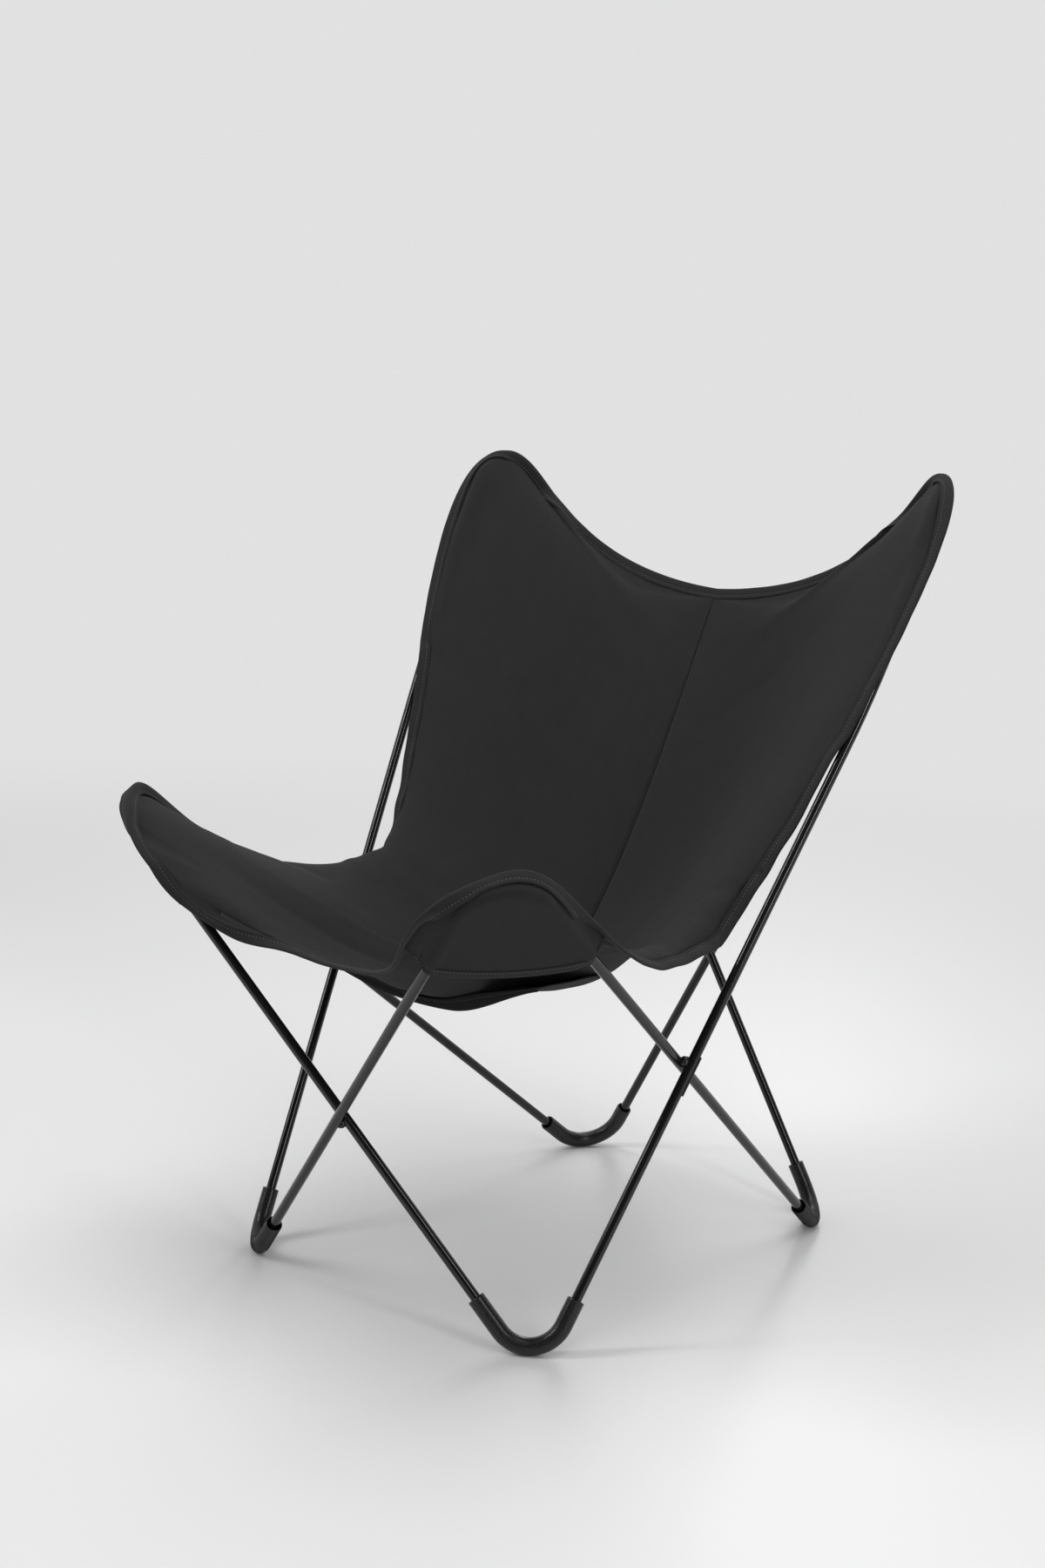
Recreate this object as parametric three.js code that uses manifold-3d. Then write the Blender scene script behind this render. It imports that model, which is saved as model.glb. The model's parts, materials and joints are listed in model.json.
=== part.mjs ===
// Butterfly sling chair: two welded loops of bent steel rod stand on four sleeved feet,
// and a canvas sling hangs by sewn corner pockets from their four horns.
// Millimetres, +Z up. The sitter faces -Y, and +X is the chair's own left-hand side
// as seen by the sitter. The origin is on the floor under the middle of the chair.
import * as THREE from 'three'
import { mergeVertices } from 'three/addons/utils/BufferGeometryUtils.js'
import Module from 'manifold-3d'

// Rod frame: every foot and horn is a V of two straight rods, given by its sharp corner
const rodDiameter = 12
const rodSides = 12
// Clearance between the two loops' rods where they cross, and rounds of fitting it
const crossingGap = { front: 0.337, rear: 0.317, side: 0.406 }
const crossingRounds = 16
const footFront = { halfSpan: 233.4, reach: 317.5, bend: 42.5 }
const footRear = { reach: 317.5, bend: 48.5 }
const hornFront = { halfSpan: 333, reach: 515, height: 622, bend: 47.5 }
const hornRear = { halfSpan: 398, reach: 254, height: 1034, bend: 37 }
// The taut sling draws the rear horns in: the rods bend gently from this share of their length
const hornLean = { inward: 38, forward: 14, rise: 19, bend: 1800 }
const leanStartShare = 0.775
const footSteps = 10
const hornSteps = 10
const leanSteps = 4

// Ribbed plastic sleeve on each foot, pushed a little towards the rod of the front horn
const sleeveLength = 162
const sleeveShift = 7
const sleeveDiameter = 21
const sleeveFit = 0.3
const sleeveRibDepth = 0.6
const sleeveRibs = 16
const sleeveSides = 8
const mouthDiameter = 17
const mouthDepth = 4
const floorFlat = 0.5

// Weld bead in a notch of each crossing: it starts beside the crossing's middle, and its tip
// stands out of the corner between the rods
const weldInset = 1.5
const weldTip = 3.5
const weldWidth = 13
const weldHeight = 12
const weldFit = 0.3
const weldSides = 14

// Canvas sling
const clothThickness = 1.6
const clothGap = 0.3
const panelGap = 1.2
const bindingWidth = 12
const bindingThickness = 4
const frontMid = { reach: 430, height: 425 }
const backMid = { reach: 264, height: 824 }
const seatLow = { reach: -70, height: 342 }
const waist = { halfSpan: 285, reach: -78, height: 456 }
// The cloth sags more at one side of the waist than at the other
const waistSag = { right: 8, left: 3 }
// Place of the sling's tips from the middle of each horn's bend: out along the horn, and in
const tipFront = { out: 10.5, inside: 16 }
const tipRear = { out: 15, inside: 7 }
// Lengths of the handles that shape the edge curves
const handleFrontMid = 190
const handleFrontTipInner = 172
const handleFrontTipOuter = 74
const handleWaistFront = 263
const handleWaistRear = 64
const handleRearTipOuter = 152
const handleRearTipInner = 46
const handleBackMid = { out: 248, back: 30, drop: 30 }
// Directions of the handles, as shares: at a tip of its side, inward and outward directions
const tipFrontShares = [1, 0.17, 0.08]
const tipRearShares = [1, -0.6, 0.07]
const waistFrontShares = [0.1, -1, -0.11]
const waistRearShares = [-0.51, 0.84, -0.17]
// Centre seam: handles of its two curves
const seamFront = { back: 120, drop: 40 }
const seamLowForward = 110
const seamLowBack = 120
const seamBack = { forward: 80, drop: 160 }
// Cloth net: stations along each edge curve, rings from edge to seam, and where on the seam
// the rays from the edge's key points end
const stationCounts = [11, 11, 14, 11]
const ringShares = [0, 0.03, 0.07, 0.13, 0.24, 0.4, 0.65, 1]
const seamKeyShares = [0, 0.28, 0.45, 0.8, 1]
const crowding = 1.5
const relaxRounds = 400
const drapeRounds = 60
const liftSpread = 0.9
const ringHold = 3
// Fullness of the cloth between edge and seam, as shares of the ray's length at the key points
const fullnessShares = [0, 0.045, 0.07, 0.05, 0]
// Least distances from a rod's centre line to the cloth, to the binding, and to its free edge
const panelRodDistance = 10.5
const bindingRodDistance = 10.2
const edgeRodDistance = 16.4
// The binding points at a rod up to the first distance, and ignores it from the second
const rodNear = 30
const rodFar = 46
const rodReach = 26

// Corner pockets
const pocketFrontLengths = { before: 168, after: 188 }
const pocketRearLengths = { before: 155, after: 170 }
const pocketRodDistance = 11
const pocketSteps = 12
// The pocket's cloth turns round the rod from the first angle on, in these shares of its turn
const wrapStart = 0.44
const wrapShares = [0, 0.4, 0.75, 1]
const wrapStepShare = 0.1
const hemWidth = 11
const hemThickness = 3
const hemDipShare = 0.09

// Second cloth layer under the seat: sewn on at its back, it hangs free from there to the front
const underFront = { reach: 328, halfWidth: 226 }
const underBack = { reach: 120, halfWidth: 150 }
const underEdgeDrop = 3.4
const underHemDrop = 51
const underHemRise = 51
const underHemSpan = 230
const underHemWidth = 15
const underHemThickness = 3
const underHemLean = 4
const underSagPower = 1.6
const underSteps = 12
const underRows = 4

const cutOverrun = 40
const rodRadius = rodDiameter / 2
const sleeveRadius = sleeveDiameter / 2
const rodFlats = Math.cos(Math.PI / rodSides)

const wasm = await Module()
wasm.setup()

const vec = (x, y, z) => new THREE.Vector3(x, y, z)
const towards = (from, to) => to.clone().sub(from).normalize()
const along = (from, direction, length) => from.clone().addScaledVector(direction, length)
const zAxis = vec(0, 0, 1)

// Arc that rounds a corner, with its two straight neighbours as tangents
function cornerArc(before, corner, after, radius) {
  const u = towards(corner, before)
  const w = towards(corner, after)
  const half = u.angleTo(w) / 2
  const inward = u.clone().add(w).normalize()
  const centre = along(corner, inward, radius / Math.sin(half))
  const start = along(corner, u, radius / Math.tan(half)).sub(centre)
  const end = along(corner, w, radius / Math.tan(half)).sub(centre)
  const sweep = Math.PI - 2 * half
  const normal = start.clone().cross(end).normalize()
  const pointAt = share => start.clone().multiplyScalar(Math.sin((1 - share) * sweep))
    .addScaledVector(end, Math.sin(share * sweep)).divideScalar(Math.sin(sweep)).add(centre)
  const tangentAt = share => normal.clone().cross(pointAt(share).sub(centre)).normalize()
  return { u, w, inward, centre, normal, radius, pointAt, tangentAt, apex: pointAt(1 / 2) }
}

// Height of a foot's sharp corner that puts the lowest point of its bend at the right height
function footCorner(place, hornA, hornB) {
  const corner = vec(place.x, place.y, 0)
  const restHeight = sleeveRadius - floorFlat
  for (let round = 0; round < footSteps; round++) {
    const arc = cornerArc(hornA, corner, hornB, place.bend)
    const lowest = arc.centre.z - arc.radius * Math.hypot(arc.normal.x, arc.normal.y)
    corner.z += restHeight - lowest
  }
  return corner
}

// Corners of one loop: side is +1 for the loop whose front foot is at +X
function loopCorners(side, fit) {
  const frontShift = side * fit.frontShift
  const rearShift = side * fit.rearShift
  const rear = vec(side * hornRear.halfSpan, hornRear.reach + rearShift, hornRear.height)
  const front = vec(-side * hornFront.halfSpan, -hornFront.reach + frontShift, hornFront.height)
  const frontPlace = { x: side * footFront.halfSpan, y: -footFront.reach + frontShift, bend: footFront.bend }
  const rearPlace = { x: -side * fit.rearHalfSpan, y: footRear.reach + rearShift, bend: footRear.bend }
  const frontFoot = footCorner(frontPlace, rear, front)
  const rearFoot = footCorner(rearPlace, rear, front)
  const leaned = rear.clone().add(vec(-side * hornLean.inward, -hornLean.forward, hornLean.rise))
  return [
    { point: frontFoot, bend: footFront.bend, steps: footSteps },
    { point: frontFoot.clone().lerp(rear, leanStartShare), bend: hornLean.bend, steps: leanSteps },
    { point: leaned, bend: hornRear.bend, steps: hornSteps },
    { point: rearFoot.clone().lerp(rear, leanStartShare), bend: hornLean.bend, steps: leanSteps },
    { point: rearFoot, bend: footRear.bend, steps: footSteps },
    { point: front, bend: hornFront.bend, steps: hornSteps },
  ]
}

function closestPoints(a0, a1, b0, b1) {
  const u = a1.clone().sub(a0)
  const w = b1.clone().sub(b0)
  const gap = a0.clone().sub(b0)
  const [uu, uw, ww, ug, wg] = [u.dot(u), u.dot(w), w.dot(w), u.dot(gap), w.dot(gap)]
  const scale = uu * ww - uw * uw
  return [along(a0, u, (uw * wg - ww * ug) / scale), along(b0, w, (uu * wg - uw * ug) / scale)]
}

// Where two rods cross: how far apart their centre lines pass, negative where the first is
// nearer to the chair's middle plane, and the share of the second rod that lies before it
function crossingOf(a0, a1, b0, b1) {
  const [onA, onB] = closestPoints(a0, a1, b0, b1)
  const inwards = Math.abs(onA.x) < Math.abs(onB.x) ? -1 : 1
  return { apart: onA.distanceTo(onB), sideways: inwards * onA.distanceTo(onB),
    share: onB.distanceTo(b0) / b1.distanceTo(b0) }
}

// Half the distance in Y between the loops' corners, at the front and at the rear, and the half
// span of the rear feet, with which the two loops' rods just pass each other where they cross
function fitCrossings(start) {
  let fit = start
  for (let round = 0; round < crossingRounds; round++) {
    const [right, left] = [1, -1].map(side => loopCorners(side, fit).map(corner => corner.point))
    const front = crossingOf(right[0], right[5], left[0], left[5])
    const rear = crossingOf(right[4], right[3], left[4], left[3])
    const sides = [crossingOf(right[0], right[1], left[4], left[5]),
      crossingOf(left[0], left[1], right[4], right[5])]
    const tight = sides[0].sideways < sides[1].sideways ? sides[0] : sides[1]
    fit = {
      frontShift: fit.frontShift * (rodDiameter + crossingGap.front) / front.apart,
      rearShift: fit.rearShift * (rodDiameter + crossingGap.rear) / rear.apart,
      rearHalfSpan: fit.rearHalfSpan + (tight.sideways - rodDiameter - crossingGap.side) / (1 - tight.share),
    }
  }
  return fit
}

const crossingFit = fitCrossings({
  frontShift: rodRadius, rearShift: rodRadius, rearHalfSpan: footFront.halfSpan,
})

// A loop: its corner arcs, and the stations (point and tangent) along its centre line
function makeLoop(side) {
  const corners = loopCorners(side, crossingFit)
  const count = corners.length
  const arcs = corners.map((corner, i) => cornerArc(corners[(i + count - 1) % count].point,
    corner.point, corners[(i + 1) % count].point, corner.bend))
  const stations = arcs.flatMap((arc, i) => Array.from({ length: corners[i].steps + 1 }, (_, k) => ({
    point: arc.pointAt(k / corners[i].steps),
    tangent: arc.tangentAt(k / corners[i].steps),
  })))
  const [frontFoot, , rearHorn, , rearFoot, frontHorn] = arcs
  return { side, arcs, stations, frontFoot, rearHorn, rearFoot, frontHorn }
}

// Curve that steps from station to station, so that bends get more rings than straights
class StationCurve extends THREE.Curve {
  constructor(stations) {
    super()
    this.stations = stations
  }
  station(share) {
    return this.stations[Math.round(share * this.stations.length) % this.stations.length]
  }
  getPointAt(share, target = vec(0, 0, 0)) {
    return target.copy(this.station(share).point)
  }
  getTangentAt(share, target = vec(0, 0, 0)) {
    return target.copy(this.station(share).tangent)
  }
}

function loopGeometry(loop, radius) {
  const curve = new StationCurve(loop.stations)
  return new THREE.TubeGeometry(curve, loop.stations.length, radius, rodSides, true)
}

// Mesh from rings of points: side walls, and end faces unless the row of rings closes on itself
function ringsGeometry(rings, closed) {
  const size = rings[0].length
  const count = rings.length
  const index = []
  const walls = closed ? count : count - 1
  for (let i = 0; i < walls; i++) {
    for (let k = 0; k < size; k++) {
      const a = i * size + k
      const b = i * size + (k + 1) % size
      const c = ((i + 1) % count) * size + k
      const d = ((i + 1) % count) * size + (k + 1) % size
      index.push(a, b, d, a, d, c)
    }
  }
  if (!closed) {
    for (let k = 1; k < size - 1; k++) {
      const last = (count - 1) * size
      index.push(0, k + 1, k, last, last + k, last + k + 1)
    }
  }
  return indexedGeometry(rings.flat(), index)
}

function indexedGeometry(points, index) {
  const geometry = new THREE.BufferGeometry()
  geometry.setAttribute('position', new THREE.Float32BufferAttribute(points.flatMap(p => p.toArray()), 3))
  geometry.setIndex(index)
  return geometry
}

// Same closed mesh with its faces outwards: the signed volume tells which way they are
function facingOut(geometry) {
  const index = Array.from(geometry.index.array)
  const point = i => vec(0, 0, 0).fromBufferAttribute(geometry.attributes.position, index[i])
  let volume = 0
  for (let f = 0; f < index.length; f += 3) {
    volume += point(f).dot(point(f + 1).cross(point(f + 2)))
  }
  if (volume < 0) {
    geometry.setIndex(index.map((_, i) => index[i - (i % 3) + (2 - (i % 3))]))
  }
  return geometry
}

// Solids for cutting, and back
function toSolid(geometry) {
  const plain = geometry.clone()
  plain.deleteAttribute('normal')
  plain.deleteAttribute('uv')
  const merged = mergeVertices(plain)
  return new wasm.Manifold(new wasm.Mesh({
    numProp: 3,
    vertProperties: new Float32Array(merged.attributes.position.array),
    triVerts: new Uint32Array(merged.index.array),
  }))
}

function fromSolid(solid) {
  const mesh = solid.getMesh()
  const geometry = new THREE.BufferGeometry()
  geometry.setAttribute('position', new THREE.BufferAttribute(mesh.vertProperties, 3))
  geometry.setIndex(new THREE.BufferAttribute(mesh.triVerts, 1))
  return geometry
}

// Materials and the finished group
const paintedSteel = () => new THREE.MeshStandardMaterial({
  color: 0x0b0c0c, roughness: 0.28, metalness: 0.1,
})
const weldSteel = () => new THREE.MeshStandardMaterial({ color: 0x0d0e0e, roughness: 0.35, metalness: 0.1 })
const sleevePlastic = () => new THREE.MeshStandardMaterial({
  color: 0x0a0a0a, roughness: 0.42, metalness: 0,
})
const canvasCloth = () => new THREE.MeshStandardMaterial({ color: 0x1c1c1d, roughness: 0.92, metalness: 0 })
const bindingTape = () => new THREE.MeshStandardMaterial({ color: 0x161617, roughness: 0.88, metalness: 0 })
const chair = new THREE.Group()

function addPiece(name, geometry, material) {
  const mesh = new THREE.Mesh(geometry, material)
  mesh.name = name
  chair.add(mesh)
  return mesh
}

// The rod loops
const loops = [makeLoop(1), makeLoop(-1)]
addPiece('frame_loop_front_left_foot', loopGeometry(loops[1], rodRadius), paintedSteel())
addPiece('frame_loop_front_right_foot', loopGeometry(loops[0], rodRadius), paintedSteel())

// Foot sleeves: ribs outside, and a bore with the rod's own stations inside
const arcLengthOf = arc => arc.radius * (Math.PI - arc.u.angleTo(arc.w))

// Frames along a stretch over a bend, from the start of its first straight
function pathOverArc(arc, straight) {
  const arcLength = arcLengthOf(arc)
  const frameAt = (point, tangent) => ({ point, side: arc.normal, up: arc.normal.clone().cross(tangent) })
  return distance => {
    if (distance < straight) {
      return frameAt(along(arc.pointAt(0), arc.u, straight - distance), arc.tangentAt(0))
    }
    if (distance > straight + arcLength) {
      return frameAt(along(arc.pointAt(1), arc.w, distance - straight - arcLength), arc.tangentAt(1))
    }
    const share = (distance - straight) / arcLength
    return frameAt(arc.pointAt(share), arc.tangentAt(share))
  }
}

function sleeveGeometry(arc, shift) {
  const arcLength = arcLengthOf(arc)
  const straight = (sleeveLength - arcLength) / 2 + shift
  const frame = pathOverArc(arc, straight)
  // One corner of the section points at the floor
  const down = zAxis.clone().negate().addScaledVector(arc.tangentAt(1 / 2), arc.tangentAt(1 / 2).z)
  const mid = frame(straight + arcLength / 2)
  const phase = Math.atan2(down.dot(mid.up), down.dot(mid.side))
  const ring = (distance, radius) => {
    const { point, side, up } = frame(distance)
    return Array.from({ length: sleeveSides }, (_, k) => {
      const angle = phase + (k * 2 * Math.PI) / sleeveSides
      return along(along(point, side, radius * Math.cos(angle)), up, radius * Math.sin(angle))
    })
  }
  const pitch = sleeveLength / sleeveRibs
  const flats = Math.cos(Math.PI / sleeveSides)
  const boreRadius = (rodRadius + sleeveFit) / flats
  const outside = []
  for (let rib = 0; rib < sleeveRibs; rib++) {
    outside.push(ring(rib * pitch, sleeveRadius - sleeveRibDepth))
    outside.push(ring((rib + 1 / 2) * pitch, sleeveRadius))
  }
  outside.push(ring(sleeveLength, sleeveRadius - sleeveRibDepth))
  const inside = [ring(sleeveLength, mouthDiameter / 2), ring(sleeveLength - mouthDepth, boreRadius)]
  for (let step = footSteps; step >= 0; step--) {
    inside.push(ring(straight + (arcLength * step) / footSteps, boreRadius))
  }
  inside.push(ring(mouthDepth, boreRadius), ring(0, mouthDiameter / 2))
  return ringsGeometry([...outside, ...inside], true)
}

const floorBlockSize = 4 * (footFront.reach + footFront.halfSpan)
const floorBlock = toSolid(new THREE.BoxGeometry(floorBlockSize, floorBlockSize, cutOverrun)
  .translate(0, 0, -cutOverrun / 2))
// A front foot's bend starts on the front horn's rod, and a rear foot's ends on it
const sleevePlaces = {
  sleeve_front_right: [loops[0].frontFoot, sleeveShift],
  sleeve_front_left: [loops[1].frontFoot, sleeveShift],
  sleeve_rear_left: [loops[0].rearFoot, -sleeveShift],
  sleeve_rear_right: [loops[1].rearFoot, -sleeveShift],
}
for (const [name, place] of Object.entries(sleevePlaces)) {
  const hose = toSolid(facingOut(sleeveGeometry(...place)))
  addPiece(name, fromSolid(hose.subtract(floorBlock)), sleevePlastic())
}

// Weld beads: an oval blob in a notch of each crossing, cut by both rods
const weldCutters = loops.map(loop => toSolid(loopGeometry(loop, rodRadius + weldFit)))

function weldGeometry(endsA, endsB, notch) {
  const [onA, onB] = closestPoints(...endsA, ...endsB)
  const across = towards(onA, onB)
  const dirA = towards(...endsA)
  const dirB = towards(...endsB)
  const middle = dirA.clone().add(dirB).normalize().multiplyScalar(notch)
  const corner = rodRadius / Math.sin(dirA.angleTo(dirB) / 2)
  const weldLength = corner + weldTip - weldInset
  const place = along(onA.clone().lerp(onB, 1 / 2), middle, weldInset + weldLength / 2)
  const blob = new THREE.SphereGeometry(1 / 2, weldSides, weldSides / 2)
  const sideways = middle.clone().cross(across).normalize()
  blob.applyMatrix4(new THREE.Matrix4().makeBasis(middle.multiplyScalar(weldLength),
    sideways.multiplyScalar(weldWidth), across.multiplyScalar(weldHeight)).setPosition(place))
  const pieces = toSolid(facingOut(blob)).subtract(weldCutters[0]).subtract(weldCutters[1]).decompose()
  pieces.sort((a, b) => b.volume() - a.volume())
  return fromSolid(pieces[0])
}

// Ends of a rod's straight part between a foot and the corner above it
const rodFrom = (foot, horn) => [foot.corner, horn.corner]
const cornersOf = loops.map(loop => loopCorners(loop.side, crossingFit)
  .map(corner => ({ corner: corner.point })))
const [rightLoop, leftLoop] = cornersOf
addPiece('weld_front',
  weldGeometry(rodFrom(rightLoop[0], rightLoop[5]), rodFrom(leftLoop[0], leftLoop[5]), -1), weldSteel())
addPiece('weld_rear',
  weldGeometry(rodFrom(rightLoop[4], rightLoop[3]), rodFrom(leftLoop[4], leftLoop[3]), 1), weldSteel())
addPiece('weld_right',
  weldGeometry(rodFrom(rightLoop[0], rightLoop[1]), rodFrom(leftLoop[4], leftLoop[5]), 1), weldSteel())
addPiece('weld_left',
  weldGeometry(rodFrom(leftLoop[0], leftLoop[1]), rodFrom(rightLoop[4], rightLoop[5]), 1), weldSteel())

// The sling's frame of reference at a horn: out along the V, sideways to the side edge, and inside
function hornFrame(arc, sideDirection, tip) {
  const out = arc.inward.clone().negate()
  const side = sideDirection.clone()
  const inside = out.clone().cross(side).normalize()
  if (inside.x * arc.apex.x > 0) {
    inside.negate()
  }
  const point = along(along(arc.apex, out, tip.out), inside, tip.inside)
  return { arc, apex: arc.apex, out, side, inside, point }
}

const shareVector = (frame, [side, inside, out]) => frame.side.clone().multiplyScalar(side)
  .addScaledVector(frame.inside, inside).addScaledVector(frame.out, out).normalize()

// Bezier curves of one half's edge, from the middle of the front over both tips to the back
function halfEdge(sign) {
  const frontArc = (sign > 0 ? loops[1] : loops[0]).frontHorn
  const rearArc = (sign > 0 ? loops[0] : loops[1]).rearHorn
  // A front horn's rods run to the front foot (after it on the loop) and to the rear foot
  const front = hornFrame(frontArc, towards(frontArc.pointAt(1), frontArc.pointAt(0)), tipFront)
  const rear = hornFrame(rearArc, towards(rearArc.pointAt(1), rearArc.pointAt(0)), tipRear)
  const outward = vec(sign, 0, 0)
  const start = vec(0, -frontMid.reach, frontMid.height)
  const end = vec(0, backMid.reach, backMid.height)
  const sag = sign > 0 ? waistSag.right : waistSag.left
  const middle = vec(sign * waist.halfSpan, waist.reach, waist.height - sag)
  const frontDirection = shareVector(front, tipFrontShares)
  const rearDirection = shareVector(rear, tipRearShares)
  const flip = vec(sign, 1, 1)
  const toFront = vec(...waistFrontShares).multiply(flip).normalize()
  const toRear = vec(...waistRearShares).multiply(flip).normalize()
  const curves = [
    new THREE.CubicBezierCurve3(start, along(start, outward, handleFrontMid),
      along(front.point, frontDirection, -handleFrontTipInner), front.point),
    new THREE.CubicBezierCurve3(front.point, along(front.point, frontDirection, handleFrontTipOuter),
      along(middle, toFront, handleWaistFront), middle),
    new THREE.CubicBezierCurve3(middle, along(middle, toRear, handleWaistRear),
      along(rear.point, rearDirection, handleRearTipOuter), rear.point),
    new THREE.CubicBezierCurve3(rear.point, along(rear.point, rearDirection, -handleRearTipInner),
      along(end, outward, handleBackMid.out).add(vec(0, handleBackMid.back, -handleBackMid.drop)), end),
  ]
  return { sign, front, rear, curves }
}

// Stations along the half edge, crowded towards the tips, with the key points on stations
function edgeStations(edge) {
  const points = []
  const reach = []
  let travelled = 0
  edge.curves.forEach((curve, c) => {
    const towardsTip = c % 2 === 0
    for (let k = c === 0 ? 0 : 1; k <= stationCounts[c]; k++) {
      const t = k / stationCounts[c]
      const share = towardsTip ? 1 - (1 - t) ** crowding : t ** crowding
      points.push(curve.getPointAt(share))
      reach.push(travelled + share * curve.getLength())
    }
    travelled += curve.getLength()
  })
  const keys = stationCounts.reduce((list, n) => [...list, list[list.length - 1] + n], [0])
  return { points, reach, keys }
}

// Value between key values, smooth at the keys
function betweenKeys(keys, values, i) {
  let k = 0
  while (k < keys.length - 2 && i > keys[k + 1]) {
    k++
  }
  const slope = j => (values[j + 1] - values[j]) / (keys[j + 1] - keys[j])
  const at = j => {
    if (j === 0) {
      return slope(0)
    }
    if (j === keys.length - 1) {
      return slope(j - 1)
    }
    const before = keys[j] - keys[j - 1]
    const after = keys[j + 1] - keys[j]
    return (slope(j - 1) * after + slope(j) * before) / (before + after)
  }
  const span = keys[k + 1] - keys[k]
  const t = (i - keys[k]) / span
  return THREE.MathUtils.lerp(values[k], values[k + 1], t * t * (3 - 2 * t))
    + span * (t * (1 - t) ** 2 * at(k) - t * t * (1 - t) * at(k + 1))
}

const seamLine = new THREE.CurvePath()
const seamStart = vec(0, -frontMid.reach, frontMid.height)
const seamBottom = vec(0, seatLow.reach, seatLow.height)
const seamEnd = vec(0, backMid.reach, backMid.height)
seamLine.add(new THREE.CubicBezierCurve3(seamStart,
  seamStart.clone().add(vec(0, seamFront.back, -seamFront.drop)),
  seamBottom.clone().add(vec(0, -seamLowForward, 0)), seamBottom))
seamLine.add(new THREE.CubicBezierCurve3(seamBottom, seamBottom.clone().add(vec(0, seamLowBack, 0)),
  seamEnd.clone().add(vec(0, -seamBack.forward, -seamBack.drop)), seamEnd))

// Nearest place on the rods' centre lines
const rodSegments = loops.flatMap(loop => loop.stations.map((station, i) =>
  new THREE.Line3(station.point, loop.stations[(i + 1) % loop.stations.length].point)))

function nearestOnRods(point) {
  let best = rodSegments[0]
  let place = vec(0, 0, 0)
  let least = Infinity
  for (const segment of rodSegments) {
    const near = segment.closestPointToPoint(point, true, vec(0, 0, 0))
    const distance = near.distanceTo(point)
    if (distance < least) {
      [best, place, least] = [segment, near, distance]
    }
  }
  return { point: place, distance: least, direction: towards(best.start, best.end) }
}

// Lifts a point that is near a rod in a direction until it clears the rod
function clearRods(point, direction, distance) {
  const near = nearestOnRods(point)
  const away = point.clone().sub(near.point)
  const height = away.dot(direction)
  const sideways = Math.sqrt(Math.max(0, near.distance ** 2 - height * height))
  if (near.distance < rodReach && sideways < distance) {
    const needed = Math.sqrt(distance * distance - sideways * sideways)
    point.addScaledVector(direction, Math.max(0, needed - height))
  }
  return point
}

const smoothStep = share => {
  const t = THREE.MathUtils.clamp(share, 0, 1)
  return t * t * (3 - 2 * t)
}

// Stretches a net of rays between the edge line and the seam until every knot is balanced
const clothRings = ringShares.length - 1

function stretchNet(edgeLine, seamPoints) {
  const net = edgeLine.map((point, i) => ringShares.map(share => point.clone().lerp(seamPoints[i], share)))
  balanceNet(net, relaxRounds, () => {})
  return net
}

// Moves each knot between its neighbours, with closer rings holding it more strongly
function balanceNet(net, rounds, settle) {
  const hold = ringShares.slice(1).map((share, j) => 1 / (share - ringShares[j]))
  for (let round = 0; round < rounds; round++) {
    for (let i = 1; i < net.length - 1; i++) {
      for (let j = 1; j < clothRings; j++) {
        const pull = (hold[j - 1] + hold[j]) / 2 * (ringShares[j + 1] - ringShares[j - 1]) * ringHold
        net[i][j].copy(net[i - 1][j]).add(net[i + 1][j]).multiplyScalar(pull)
          .addScaledVector(net[i][j - 1], hold[j - 1]).addScaledVector(net[i][j + 1], hold[j])
          .divideScalar(2 * pull + hold[j - 1] + hold[j])
        settle(net[i][j], i)
      }
    }
  }
}

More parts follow.
